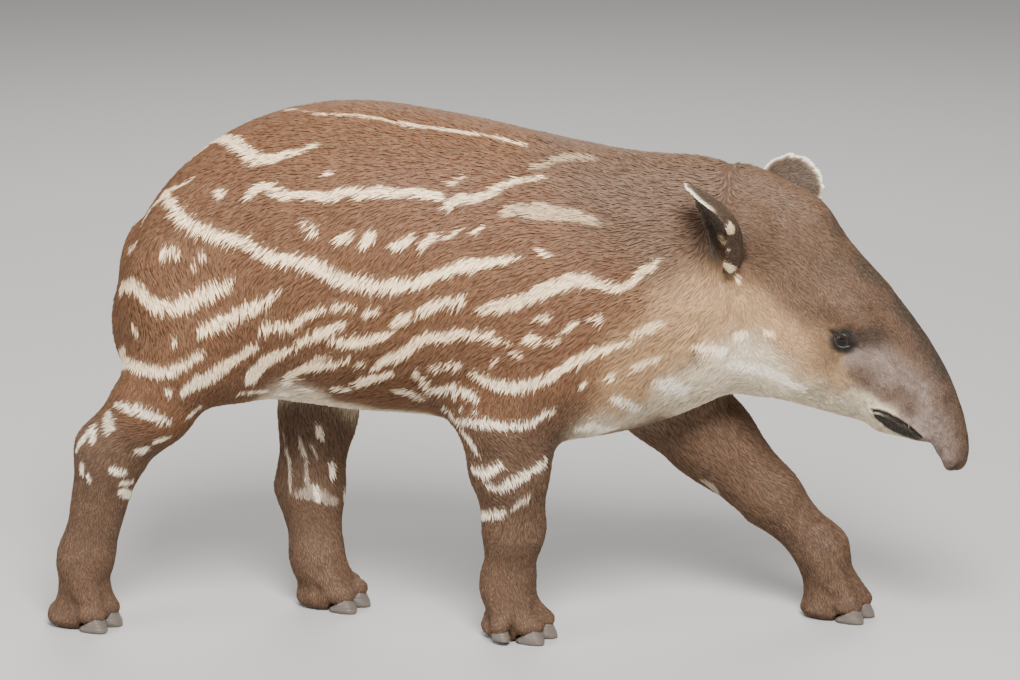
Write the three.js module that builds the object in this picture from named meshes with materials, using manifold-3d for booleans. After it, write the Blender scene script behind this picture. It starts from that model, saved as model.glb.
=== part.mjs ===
// A walking lowland tapir calf, three to four months old, as a life-size still model.
// Millimetres, +X forward along the body, +Y to its left, +Z up, and the floor at Z = 0.
import * as THREE from 'three';
import { mergeVertices } from 'three/addons/utils/BufferGeometryUtils.js';
import Module from 'manifold-3d';

const wasm = await Module();
wasm.setup();

// Driving dimensions
const gap = 0.3; // clear space between two nodes that touch
const torsoCell = 26; // facet size of each region of the skin
const neckCell = 22;
const headCell = 12.6;
const legCell = 19;
const footCell = 14.5;
const bodySoftness = 28; // width of the blend where a limb leaves the trunk
const limbSoftness = 16;

const vec = (x, y, z) => new THREE.Vector3(x, y, z);
const lerp = THREE.MathUtils.lerp;
const clamp = THREE.MathUtils.clamp;
const degrees = THREE.MathUtils.degToRad;

// Distance fields: negative inside, in millimetres near the surface

function softMin(a, b, k) {
  const h = Math.max(k - Math.abs(a - b), 0) / k;
  return Math.min(a, b) - h * h * k * 0.25;
}

// A limb segment: a cone with round ends, squeezed sideways by flat (1 is round).
function bone(from, to, fromRadius, toRadius, flat = 1) {
  const axis = to.clone().sub(from);
  const length2 = axis.lengthSq();
  return (p) => {
    const dx = p.x - from.x;
    const dy = p.y - from.y;
    const dz = p.z - from.z;
    const t = clamp((dx * axis.x + dy * axis.y + dz * axis.z) / length2, 0, 1);
    const off = Math.hypot(dx - t * axis.x, (dy - t * axis.y) / flat, dz - t * axis.z);
    return (off - lerp(fromRadius, toRadius, t)) * Math.min(1, flat * 1.15);
  };
}

// A muscle or a bump: an ellipsoid, pitched nose down by pitch and turned by yaw, in degrees.
function muscle(centre, radii, pitch = 0, yaw = 0) {
  const turn = new THREE.Matrix4()
    .makeRotationFromEuler(new THREE.Euler(0, degrees(pitch), degrees(yaw), 'ZYX'))
    .setPosition(centre)
    .invert();
  const q = vec(0, 0, 0);
  return (p) => {
    q.copy(p).applyMatrix4(turn);
    const k0 = Math.hypot(q.x / radii.x, q.y / radii.y, q.z / radii.z);
    const k1 = Math.hypot(q.x / radii.x ** 2, q.y / radii.y ** 2, q.z / radii.z ** 2);
    return k1 < 1e-9 ? -Math.min(radii.x, radii.y, radii.z) : (k0 * (k0 - 1)) / k1;
  };
}

const blend = (parts, k) => (p) => parts.map((part) => part(p)).reduce((a, b) => softMin(a, b, k));

// Reads a smooth curve through stations [place, size, size, ...] at one place.
function alongStations(stations, place, column) {
  const last = stations.length - 1;
  if (place <= stations[0][0]) return stations[0][column];
  if (place >= stations[last][0]) return stations[last][column];
  const i = stations.findIndex((s) => s[0] > place) - 1;
  const t = (place - stations[i][0]) / (stations[i + 1][0] - stations[i][0]);
  const before = stations[Math.max(i - 1, 0)];
  const after = stations[Math.min(i + 2, last)];
  const slopeIn = (stations[i + 1][column] - before[column]) / (stations[i + 1][0] - before[0]);
  const slopeOut = (after[column] - stations[i][column]) / (after[0] - stations[i][0]);
  const span = stations[i + 1][0] - stations[i][0];
  const t2 = t * t;
  const t3 = t2 * t;
  return (
    stations[i][column] * (2 * t3 - 3 * t2 + 1) +
    stations[i + 1][column] * (3 * t2 - 2 * t3) +
    slopeIn * span * (t3 - 2 * t2 + t) +
    slopeOut * span * (t3 - t2)
  );
}

// A form blown up from its side outline. Stations along X give its half width, its half depth, the
// height of its middle, and how much of its width it loses towards the top.
function inflated(outline, stations, fullness) {
  const curve = new THREE.CatmullRomCurve3(outline.map(([x, z]) => vec(x, 0, z)), true, 'centripetal');
  const ring = curve.getSpacedPoints(150);
  ring.pop();
  const sideDistance = (x, z) => {
    let best = Infinity;
    let inside = false;
    for (let i = 0, j = ring.length - 1; i < ring.length; j = i++) {
      const a = ring[j];
      const b = ring[i];
      const ex = b.x - a.x;
      const ez = b.z - a.z;
      const t = clamp(((x - a.x) * ex + (z - a.z) * ez) / (ex * ex + ez * ez), 0, 1);
      best = Math.min(best, Math.hypot(x - a.x - t * ex, z - a.z - t * ez));
      if (a.z > z !== b.z > z && x < ((b.x - a.x) * (z - a.z)) / (b.z - a.z) + a.x) inside = !inside;
    }
    return inside ? -best : best;
  };
  const known = new Map(); // the side view is the same for every y of a grid
  return (p) => {
    const key = p.x * 8191 + p.z;
    let side = known.get(key);
    if (side === undefined) {
      side = sideDistance(p.x, p.z);
      known.set(key, side);
    }
    const columns = [1, 2, 3, 4].map((column) => alongStations(stations, p.x, column));
    const [wide, halfDepth, middle, narrowing] = columns;
    const rise = THREE.MathUtils.smoothstep((p.z - middle) / halfDepth, -0.3, 1.1);
    const halfWidth = wide * (1 - narrowing * rise);
    const u = Math.max(0, 1 + side / halfDepth);
    const v = Math.abs(p.y) / halfWidth;
    const round = Math.pow(Math.pow(u, fullness) + Math.pow(v, fullness), 1 / fullness);
    return (round - 1) * Math.min(halfWidth, halfDepth);
  };
}

// Turns a field into a closed skin of even facets: one point in each cell that the surface
// crosses, a quad round each crossed grid edge, and every point moved onto the surface.
function skinOf(field, low, high, cell) {
  const count = high.clone().sub(low).divideScalar(cell).ceil().addScalar(2);
  const [nx, ny, nz] = [count.x, count.y, count.z];
  const at = (i, j, k) => i + nx * (j + ny * k);
  const place = (i, j, k) => vec(low.x + (i - 0.5) * cell, low.y + (j - 0.5) * cell, low.z + (k - 0.5) * cell);
  const values = new Float64Array(nx * ny * nz);
  for (let k = 0; k < nz; k++)
    for (let j = 0; j < ny; j++)
      for (let i = 0; i < nx; i++) {
        const edge = i === 0 || j === 0 || k === 0 || i === nx - 1 || j === ny - 1 || k === nz - 1;
        values[at(i, j, k)] = edge ? cell : field(place(i, j, k));
      }
  const cellGroups = new Map();
  const points = [];
  // Corners of a cell that are inside and joined along its edges form one group with one point.
  const groupsOf = (i, j, k) => {
    const key = at(i, j, k);
    if (cellGroups.has(key)) return cellGroups.get(key);
    const corners = Array.from({ length: 8 }, (_, c) => [i + (c & 1), j + ((c >> 1) & 1), k + ((c >> 2) & 1)]);
    const inner = corners.map((corner) => values[at(...corner)] < 0);
    const group = inner.map((is, c) => (is ? c : -1));
    for (let pass = 0; pass < 4; pass++)
      for (let c = 0; c < 8; c++)
        for (let axis = 0; axis < 3; axis++) {
          const other = c ^ (1 << axis);
          if (inner[c] && inner[other]) group[c] = group[other] = Math.min(group[c], group[other]);
        }
    const pointAt = new Map();
    for (const g of new Set(group.filter((x) => x >= 0))) {
      const sum = vec(0, 0, 0);
      let crossings = 0;
      for (let c = 0; c < 8; c++)
        for (let axis = 0; axis < 3; axis++) {
          const other = c ^ (1 << axis);
          if (group[c] !== g || inner[other]) continue;
          const va = values[at(...corners[c])];
          const vb = values[at(...corners[other])];
          sum.add(place(...corners[c]).lerp(place(...corners[other]), va / (va - vb)));
          crossings++;
        }
      if (crossings) pointAt.set(g, points.push(sum.divideScalar(crossings)) - 1);
    }
    cellGroups.set(key, { group, pointAt });
    return cellGroups.get(key);
  };
  const pointOf = (cell, inside) => {
    const { group, pointAt } = groupsOf(...cell);
    const corner = inside[0] - cell[0] + 2 * (inside[1] - cell[1]) + 4 * (inside[2] - cell[2]);
    return pointAt.get(group[corner]);
  };
  const faces = [];
  for (let k = 0; k < nz; k++)
    for (let j = 0; j < ny; j++)
      for (let i = 0; i < nx; i++) {
        const here = values[at(i, j, k)] < 0;
        const around = [
          [j * k > 0 && i + 1 < nx, [i + 1, j, k], [[i, j, k], [i, j - 1, k], [i, j - 1, k - 1], [i, j, k - 1]]],
          [k * i > 0 && j + 1 < ny, [i, j + 1, k], [[i, j, k], [i, j, k - 1], [i - 1, j, k - 1], [i - 1, j, k]]],
          [i * j > 0 && k + 1 < nz, [i, j, k + 1], [[i, j, k], [i - 1, j, k], [i - 1, j - 1, k], [i, j - 1, k]]],
        ];
        for (const [within, next, cells] of around) {
          if (!within || here === values[at(...next)] < 0) continue;
          const quad = cells.map((cell) => pointOf(cell, here ? [i, j, k] : next));
          if (!here) quad.reverse();
          const across = points[quad[0]].distanceTo(points[quad[2]]);
          const other = points[quad[1]].distanceTo(points[quad[3]]);
          const [a, b, c, d] = across <= other ? quad : [quad[1], quad[2], quad[3], quad[0]];
          faces.push(a, b, c, a, c, d);
        }
      }
  const step = 0.5;
  for (const p of points) {
    for (let pass = 0; pass < 3; pass++) {
      const value = field(p);
      const slope = vec(
        field(vec(p.x + step, p.y, p.z)) - field(vec(p.x - step, p.y, p.z)),
        field(vec(p.x, p.y + step, p.z)) - field(vec(p.x, p.y - step, p.z)),
        field(vec(p.x, p.y, p.z + step)) - field(vec(p.x, p.y, p.z - step)),
      ).divideScalar(2 * step);
      const above = p.x > low.x && p.y > low.y && p.z > low.z;
      const inside = above && p.x < high.x && p.y < high.y && p.z < high.z;
      if (inside && slope.lengthSq() > 0.01)
        p.addScaledVector(slope, -clamp(value / slope.lengthSq(), -cell / 3, cell / 3));
    }
  }
  const geometry = new THREE.BufferGeometry().setFromPoints(points);
  geometry.setIndex(faces);
  return geometry;
}

// Closed meshes as solids that can be joined and cut

function solid(geometry, matrix = new THREE.Matrix4()) {
  const plain = geometry.clone().applyMatrix4(matrix);
  plain.deleteAttribute('normal');
  plain.deleteAttribute('uv');
  const merged = mergeVertices(plain, 1e-4);
  return new wasm.Manifold(
    new wasm.Mesh({
      numProp: 3,
      vertProperties: new Float32Array(merged.attributes.position.array),
      triVerts: new Uint32Array(merged.index.array),
    }),
  );
}

const largest = (made) => made.decompose().reduce((a, b) => (b.volume() > a.volume() ? b : a));

// A box that stands on the plane through a point and reaches far along the plane's normal.
function halfSpace(point, normal, lift = 0) {
  const reach = 1600;
  const turn = new THREE.Quaternion().setFromUnitVectors(vec(0, 0, 1), normal.clone().normalize());
  const centre = point.clone().addScaledVector(normal.clone().normalize(), reach / 2 + lift);
  const box = new THREE.BoxGeometry(reach, reach, reach);
  return solid(box, new THREE.Matrix4().compose(centre, turn, vec(1, 1, 1)));
}

// A solid block bounded by a few planes [point, inward normal].
const wedge = (planes, lift = 0) =>
  planes.map(([point, normal]) => halfSpace(point, normal, -lift)).reduce((a, b) => a.intersect(b));

// Trunk

const trunkOutline = [
  [-424, 318], [-409, 380], [-380, 445], [-327, 504], [-251, 545], [-167, 559], [-63, 548], [42, 527],
  [135, 512], [208, 506], [262, 480], [300, 430], [296, 330], [240, 264], [196, 240], [137, 219],
  [64, 207], [-15, 220], [-85, 231], [-159, 235], [-245, 244], [-330, 250], [-400, 262],
];
// place along the body, half width, half depth, height of the middle, how much the top narrows
const trunkStations = [
  [-420, 66, 120, 330, 0], [-380, 92, 140, 356, 0.05], [-320, 116, 160, 380, 0.1], [-230, 134, 166, 394, 0.12],
  [-120, 143, 168, 393, 0.1], [-20, 138, 168, 381, 0.12], [60, 122, 165, 367, 0.2], [140, 92, 155, 366, 0.32],
  [210, 63, 135, 375, 0.38], [290, 48, 110, 380, 0.38],
];
const trunk = inflated(trunkOutline, trunkStations, 2.25);

// Head, in its own frame: origin between the ears, X to the nose, Y to its left, Z to the crown
const headPlace = vec(262, 0, 432);
const headPitch = 20;
const headYaw = -15;
const headRoll = 11;
const headTurn = new THREE.Matrix4()
  .makeRotationFromEuler(new THREE.Euler(degrees(headRoll), degrees(headPitch), degrees(headYaw), 'ZYX'))
  .setPosition(headPlace);
const headBack = headTurn.clone().invert();
const onHead = (x, y, z) => vec(x, y, z).applyMatrix4(headTurn);

const headOutline = [
  [-40, 38], [10, 55], [50, 54], [94, 23], [149, -6], [199, -37], [240, -72], [270, -112], [285, -142],
  [284, -163], [268, -170], [252, -155], [236, -139], [206, -149], [153, -158], [86, -169], [40, -181],
  [-6, -165], [-50, -90],
];
const headStations = [
  [-40, 46, 90, -50, 0.34], [10, 54, 105, -58, 0.3], [70, 56, 95, -64, 0.18], [125, 50, 78, -76, 0.06],
  [165, 39, 62, -86, 0.04], [205, 31, 48, -95, 0.04], [240, 26, 38, -108, 0], [270, 21, 27, -140, 0],
  [288, 16, 18, -153, 0],
];
const skull = inflated(headOutline, headStations, 2.15);
const eyeCentre = [128, 41, -55]; // the side is a sign on y
const eyeRadius = 12.5;
const eyeStandOut = 4.5; // how far the ball stands out of the face

function faceForms(side) {
  const at = (x, y, z) => vec(x, side * y, z);
  return [
    muscle(at(70, 40, -105), vec(52, 20, 48), 18), // cheek muscle
    muscle(at(124, 36, -32), vec(36, 14, 16), 22), // brow
    muscle(at(-10, 34, 0), vec(38, 22, 38)), // root of the ear
    bone(at(190, 19, -141), at(218, 7, -141), 9, 7), // lower lip
    bone(at(185, 27, -124), at(232, 17, -134), 9, 9), // upper lip
  ];
}

const headForms = blend([skull, ...faceForms(-1), ...faceForms(1)], 14);
const headPoint = vec(0, 0, 0);
const head = (p) => headForms(headPoint.copy(p).applyMatrix4(headBack));

// Legs: joints from the trunk down. side is -1 on the animal's right.
const legs = {
  front_right: {
    side: -1,
    girth: 0.93,
    shoulder: vec(62, -74, 350),
    elbow: vec(2, -80, 246),
    wrist: vec(10, -62, 122),
    ankle: vec(2, -53, 56),
    toes: vec(28, -50, 0),
  },
  front_left: {
    side: 1,
    girth: 1.03,
    shoulder: vec(110, 70, 345),
    elbow: vec(161, 72, 235),
    wrist: vec(272, 62, 130),
    ankle: vec(331, 57, 71),
    toes: vec(361, 54, 0),
  },
  hind_right: {
    side: -1,
    hip: vec(-312, -62, 372),
    knee: vec(-328, -84, 302),
    hock: vec(-414, -66, 196),
    ankle: vec(-446, -52, 76),
    toes: vec(-436, -48, 0),
  },
  hind_left: {
    side: 1,
    hip: vec(-270, 62, 372),
    knee: vec(-206, 84, 290),
    hock: vec(-222, 62, 128),
    ankle: vec(-213, 48, 52),
    toes: vec(-182, 46, 0),
  },
};

function frontForms(leg) {
  const { side, girth, shoulder, elbow, wrist, ankle } = leg;
  const middle = elbow.clone().lerp(wrist, 0.45);
  return [
    muscle(shoulder.clone().add(vec(0, -side * 2, -8)), vec(78, 40, 118), -14),
    bone(shoulder.clone().lerp(elbow, 0.5), elbow, 57, 51 * girth, 0.72),
    bone(elbow, middle, 51 * girth, 44 * girth, 0.82),
    bone(middle, wrist, 44 * girth, 33 * girth, 0.86),
    bone(wrist, ankle, 31, 25, 0.92),
  ];
}

function hindForms(leg) {
  const { side, hip, knee, hock, ankle } = leg;
  const middle = knee.clone().lerp(hock, 0.5).add(vec(side < 0 ? 5 : 0, 0, 0));
  const heel = hock.clone().add(vec(-15, 0, 6));
  return [
    muscle(hip.clone().add(vec(6, -side * 2, -16)), vec(90, 46, 109), 0),
    bone(hip.clone().lerp(knee, 0.6), knee, 60, 41, 0.72),
    bone(knee, middle, 41, 42, 0.8),
    bone(middle, hock, 42, 35, 0.8),
    bone(hock, heel, 25, 16, 0.8),
    bone(hock, ankle, 35, 26, 0.82),
  ];
}

// Toes of a foot: splay in degrees to the inner side, root ahead of the heel and beside its middle,
// reach from root to tip, and the hoof's half width, length, height and lift off the floor
const toe = (splay, ahead, beside, reach, half, length, height, lift) => ({
  splay, ahead, beside, reach, half, length, height, lift,
});
const frontToes = {
  inner: toe(16, 0, 17.5, 46, 10.5, 32, 18, 0),
  middle: toe(0, 0, 0, 56, 13, 34, 19, 0),
  outer: toe(-16, 0, -17.5, 46, 10.5, 32, 18, 0),
  little: toe(-35, -12, -25, 23, 8, 21, 14, 4),
};
const hindToes = {
  inner: toe(16, 0, 18, 46, 11, 32, 18, 0),
  middle: toe(0, 0, 0, 56, 13.5, 34, 19, 0),
  outer: toe(-16, 0, -18, 46, 11, 32, 18, 0),
};
const heelBack = 28; // heel behind the middle of the foot's print
const hoofSlope = 0.45; // how fast the front of a hoof leans back as it rises

// Each toe's place: an upright frame at the tip of its hoof, X forward along the toe.
function toesOf(leg, toes) {
  const heel = vec(leg.toes.x - heelBack, leg.toes.y, 0);
  return Object.entries(toes).map(([name, shape]) => {
    const turn = degrees(shape.splay) * -leg.side;
    const forward = vec(Math.cos(turn), Math.sin(turn), 0);
    const root = vec(heel.x + shape.ahead, heel.y - leg.side * shape.beside, 0);
    const tip = root.clone().addScaledVector(forward, shape.reach).setZ(shape.lift);
    const frame = new THREE.Matrix4().makeRotationZ(turn).setPosition(tip);
    return { name, shape, forward, root, tip, frame };
  });
}

function footForms(leg, toes) {
  const forms = toesOf(leg, toes).map(({ shape, forward, root, tip }) => {
    const top = leg.ankle.clone().lerp(vec(root.x, root.y, leg.ankle.z), 0.55);
    top.z -= 8;
    const end = tip.clone().addScaledVector(forward, -shape.length * 0.42).setZ(shape.height * 0.7 + shape.lift);
    return bone(top, end, shape.half + 8, shape.half + 0.5);
  });
  const pad = vec(leg.toes.x - 22, leg.toes.y, 12);
  forms.push(muscle(pad, vec(34, 30, 19)));
  forms.push(bone(leg.ankle, pad, 29, 22, 0.95));
  return forms;
}

const limbs = {};
for (const [name, leg] of Object.entries(legs)) {
  const front = name.startsWith('front');
  const toes = front ? frontToes : hindToes;
  const upper = blend(front ? frontForms(leg) : hindForms(leg), limbSoftness);
  const foot = blend(footForms(leg, toes), 5);
  const joints = Object.values(leg).filter((joint) => joint.isVector3);
  const reach = new THREE.Box3().setFromPoints(joints).expandByScalar(160);
  limbs[name] = { leg, toes, front, reach, field: (p) => softMin(upper(p), foot(p), limbSoftness) };
}

const headAndTrunk = (p) => softMin(trunk(p), head(p), 15);
const flesh = (p) => {
  let d = headAndTrunk(p);
  for (const limb of Object.values(limbs)) {
    if (limb.reach.containsPoint(p)) d = softMin(d, limb.field(p), bodySoftness);
  }
  return d;
};

// Regions of the body, each bounded by planes; a limb's region is cut out of the trunk
const neckPlane = [vec(140, 0, 380), vec(1, 0, -0.22)];
const headPlane = [vec(232, 0, 380), vec(1, -0.2, -0.08)];

function limbRegion(limb) {
  const { leg, front } = limb;
  const side = leg.side;
  const root = front ? leg.shoulder : leg.hip;
  const outward = vec(0, side * 0.62, -0.78);
  const behind = front ? root.x - 100 : -520;
  const ahead = root.x + 95;
  return [
    [vec(root.x, side * 66, front ? 262 : 290), outward],
    [vec(0, side * 6, 0), vec(0, side, 0)],
    [vec(behind, 0, 300), vec(1, 0, front ? -0.25 : 0)],
    [vec(ahead, 0, 262), vec(-1, 0, front ? -1.3 : 0)],
  ];
}

const parts = new THREE.Group();
const hide = new THREE.MeshStandardMaterial({ color: 0x7a5340, roughness: 0.9 });
const skin = new THREE.MeshStandardMaterial({ color: 0x4a3f3b, roughness: 0.8 });
const eyeGloss = new THREE.MeshStandardMaterial({ color: 0x0d0a09, roughness: 0.08 });
const horn = new THREE.MeshStandardMaterial({ color: 0x2b2521, roughness: 0.5 });

function addNode(name, made, material) {
  const mesh = largest(made).getMesh();
  const geometry = new THREE.BufferGeometry();
  geometry.setAttribute('position', new THREE.BufferAttribute(Float32Array.from(mesh.vertProperties), 3));
  geometry.setIndex(new THREE.BufferAttribute(Uint32Array.from(mesh.triVerts), 1));
  geometry.computeVertexNormals();
  const node = new THREE.Mesh(geometry, material);
  node.name = name;
  parts.add(node);
}

const fleshIn = (low, high, cell, field = flesh) => solid(skinOf(field, low, high, cell));
const floor = halfSpace(vec(0, 0, 0), vec(0, 0, 1));

const regions = Object.fromEntries(Object.entries(limbs).map(([name, limb]) => [name, limbRegion(limb)]));
// Finds where a ray from a point of the head frame meets the flesh, in the head frame.
function headSurface(from, direction) {
  const p = from.clone();
  const step = direction.clone().normalize();
  for (let pass = 0; pass < 60; pass++) {
    const d = headAndTrunk(p.clone().applyMatrix4(headTurn));
    if (Math.abs(d) < 0.02) break;
    p.addScaledVector(step, d * 0.7);
  }
  return p;
}

// Sizes along a rope: thick in its middle and fine at both ends.
const spindle = (radius, ends) => (t) => radius * lerp(ends, 1, Math.sin(Math.PI * t) ** 0.6);

// A round rope along a smooth line, as thick as sizeAt says from 0 to 1.
function rope(points, sizeAt, sides = 6) {
  const curve = new THREE.CatmullRomCurve3(points);
  const rings = 3 * (points.length - 1);
  const positions = [];
  const faces = [];
  const frames = curve.computeFrenetFrames(rings, false);
  for (let i = 0; i <= rings; i++) {
    const t = i / rings;
    const centre = curve.getPointAt(t);
    const size = sizeAt(t);
    for (let j = 0; j < sides; j++) {
      const turn = (2 * Math.PI * j) / sides;
      const out = frames.normals[i].clone().multiplyScalar(Math.cos(turn));
      out.addScaledVector(frames.binormals[i], Math.sin(turn));
      positions.push(centre.clone().addScaledVector(out, size));
      const next = (j + 1) % sides;
      if (i === rings) continue;
      const [a, b] = [i * sides + j, i * sides + next];
      faces.push(a, b, a + sides, b, b + sides, a + sides);
    }
  }
  const first = positions.push(curve.getPointAt(0)) - 1;
  const last = positions.push(curve.getPointAt(1)) - 1;
  for (let j = 0; j < sides; j++) {
    const next = (j + 1) % sides;
    faces.push(first, next, j, last, rings * sides + j, rings * sides + next);
  }
  const geometry = new THREE.BufferGeometry().setFromPoints(positions);
  geometry.setIndex(faces);
  return geometry;
}

const outwardSolid = (geometry, matrix) => {
  const made = solid(geometry, matrix);
  return made.volume() < 0 ? solid(flipped(geometry), matrix) : made;
};

function flipped(geometry) {
  const copy = geometry.clone();
  const index = Array.from(copy.index.array);
  for (let i = 0; i < index.length; i += 3) [index[i + 1], index[i + 2]] = [index[i + 2], index[i + 1]];
  copy.setIndex(index);
  return copy;
}

const ball = (centre, radii, matrix) =>
  solid(new THREE.SphereGeometry(1, 12, 8), new THREE.Matrix4()
    .multiplyMatrices(matrix, new THREE.Matrix4().compose(centre, new THREE.Quaternion(), radii)));

// Eye: a ball that stands a little out of the face, under an upper and a lower lid
function eyeParts(side) {
  const outward = vec(0.1, side, 0.12).normalize();
  const from = vec(eyeCentre[0], side * 80, eyeCentre[2]);
  const onFace = headSurface(from, vec(0, -side, 0));
  const centre = onFace.clone().addScaledVector(outward, eyeStandOut - eyeRadius);
  const lid = (points, radius) => {
    const line = points.map(([along, over]) => {
      const dir = vec(along, 0, over).addScaledVector(outward, 1).normalize();
      return centre.clone().addScaledVector(dir, eyeRadius + 0.6);
    });
    return outwardSolid(rope(line, spindle(radius, 0.5)), headTurn);
  };
  const upper = lid([[-1.35, 0.12], [-0.75, 0.7], [0, 0.95], [0.75, 0.54], [1.35, -0.28]], 3.4);
  const lower = lid([[-1.35, 0.12], [-0.7, -0.56], [0, -0.8], [0.7, -0.68], [1.35, -0.28]], 2.9);
  const radii = vec(eyeRadius, eyeRadius, eyeRadius);
  return {
    lids: upper.add(lower),
    globe: ball(centre, radii, headTurn),
    socket: ball(centre, radii.clone().addScalar(gap * 1.3), headTurn),
  };
}

// Ear: a leaf curled into a cup, nearly a tube at its root. It stands in the skin of the head,
// at a root given by its place along the head and its height.
const ears = {
  ear_right: {
    side: -1,
    root: [-15, 1],
    stand: 14, // how far the root stands out of the skin
    lean: vec(-42, -46, 72),
    opening: vec(-0.56, -0.74, -0.46),
  },
  ear_left: {
    side: 1,
    root: [14, -24],
    stand: 0,
    lean: vec(-16, 20, 84),
    opening: vec(0.12, 1, 0.1),
  },
};
const earLength = 89;
const earDepthInHead = 22;
const earWall = 4.5;
// share of the length, half width, depth of the cup, angle from its back to its rim
const earStations = [
  [0, 18, 16, 2.7], [0.15, 21, 18, 2.5], [0.32, 26, 19, 2.25], [0.5, 32, 18, 2], [0.68, 38, 14.5, 1.75],
  [0.84, 35, 9.5, 1.5], [0.94, 25.5, 5.5, 1.35], [1, 12, 2.5, 1.25],
];

function earFrame(ear) {
  const up = ear.lean.clone().normalize();
  const open = ear.opening.clone().addScaledVector(up, -ear.opening.dot(up)).normalize();
  const across = open.clone().cross(up).normalize();
  const root = headSurface(vec(ear.root[0], ear.side * 120, ear.root[1]), vec(0, -ear.side, 0));
  root.y += ear.side * ear.stand;
  return new THREE.Matrix4().makeBasis(across, open, up).setPosition(root);
}

// Rings of points up the ear: round the outside of the cup, then back along the inside.
function earSolid(ear) {
  const rings = 9;
  const sides = 8;
  const positions = [];
  const faces = [];
  const around = 2 * (sides + 1);
  for (let i = 0; i <= rings; i++) {
    const share = i / rings;
    const [halfWidth, depth, curl] = [1, 2, 3].map((column) => alongStations(earStations, share, column));
    const wide = halfWidth / Math.sin(Math.min(curl, Math.PI / 2));
    const z = lerp(-earDepthInHead, earLength, share);
    const bend = 10 * share * (1 - share) * 4 - 5; // the leaf bows a little towards its back
    const place = (turn, inset) =>
      vec((wide - inset) * Math.sin(turn), (inset - depth) * Math.cos(turn) - bend, z - inset * share * 0.6);
    const wall = earWall * lerp(1, 0.62, share);
    const turns = Array.from({ length: sides + 1 }, (_, j) => lerp(-curl, curl, j / sides));
    positions.push(...turns.map((turn) => place(turn, 0)));
    positions.push(...turns.reverse().map((turn) => place(turn * 0.97, Math.min(wall, halfWidth * 0.5))));
    if (i === rings) break;
    for (let j = 0; j < around; j++) {
      const next = (j + 1) % around;
      const [a, b, c, d] = [i * around + j, i * around + next, (i + 1) * around + j, (i + 1) * around + next];
      faces.push(a, b, c, b, d, c);
    }
  }
  const top = rings * around;
  for (let j = 0; j < sides; j++) {
    const [a, b, c, d] = [j, j + 1, around - 1 - j, around - 2 - j];
    faces.push(a, c, b, b, c, d);
    faces.push(top + a, top + b, top + c, top + b, top + d, top + c);
  }
  const geometry = new THREE.BufferGeometry().setFromPoints(positions);
  geometry.setIndex(faces);
  return outwardSolid(geometry, new THREE.Matrix4().multiplyMatrices(headTurn, earFrame(ear)));
}

const headSkin = skinOf(headAndTrunk, vec(190, -175, 130), vec(560, 120, 560), headCell);
const neckSkin = skinOf(flesh, vec(100, -150, 180), vec(330, 150, 560), neckCell);
let headSolid = solid(headSkin);
for (const planes of Object.values(regions)) headSolid = headSolid.subtract(wedge(planes, gap));
headSolid = headSolid.intersect(halfSpace(...headPlane));
const mouthLine = [
  [168, 0, -136], [182, 0, -131], [196, 0, -131.5], [210, 0, -134], [224, 0, -139], [236, 0, -146],
];
for (const side of [-1, 1]) {
  const lip = mouthLine.map(([x, , z]) => headSurface(vec(x, side * 60, z), vec(0, -side, 0)));
  headSolid = headSolid.subtract(outwardSolid(rope(lip, spindle(3.2, 0.4)), headTurn));
  const nostril = new THREE.Matrix4().makeRotationY(degrees(20)).setPosition(279, side * 8.5, -158);
  nostril.premultiply(headTurn);
  headSolid = headSolid.subtract(ball(vec(0, 0, 0), vec(8, 3.6, 9), nostril));
}
for (const [name, side] of [['eye_right', -1], ['eye_left', 1]]) {
  const eye = eyeParts(side);
  headSolid = headSolid.add(eye.lids).subtract(eye.socket);
  addNode(name, eye.globe, eyeGloss);
}
for (const [name, ear] of Object.entries(ears)) {
  const away = vec(0, ear.side * 0.8, 0.6).transformDirection(headTurn).multiplyScalar(gap * 1.4);
  const shift = new THREE.Matrix4().setPosition(away);
  addNode(name, earSolid(ear).subtract(solid(headSkin, shift)).subtract(solid(neckSkin, shift)), hide);
}
addNode('head', headSolid, hide);

// Tail: short and thick, lying in the cleft of the rump
const tailLine = [
  vec(-358, 0, 446), vec(-381, 0, 426), vec(-397, 0, 402), vec(-405, 0, 375), vec(-408, 0, 350),
];
const tailPlane = [vec(-388, 0, 420), vec(-0.8, 0, -0.6)];
const tailSize = (t) => lerp(15, 8.5, t) * Math.min(1, Math.sqrt(1.04 - t) * 3.2);
const tail = outwardSolid(rope(tailLine, tailSize, 10));
const tailSpace = outwardSolid(rope(tailLine, (t) => tailSize(t) + 1.2, 10)).intersect(halfSpace(...tailPlane));
addNode('tail', tail.intersect(halfSpace(...tailPlane, gap)), hide);

let trunkSolid = fleshIn(vec(-475, -185, 150), vec(330, 185, 600), torsoCell).subtract(tailSpace);
for (const planes of Object.values(regions)) trunkSolid = trunkSolid.subtract(wedge(planes, gap));
const torso = trunkSolid.subtract(halfSpace(neckPlane[0], neckPlane[1]));
addNode('torso', torso, hide);

let neck = solid(neckSkin);
for (const planes of Object.values(regions)) neck = neck.subtract(wedge(planes, gap));
neck = neck.intersect(halfSpace(neckPlane[0], neckPlane[1], gap)).subtract(halfSpace(...headPlane, -gap));
addNode('neck', neck, hide);

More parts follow.
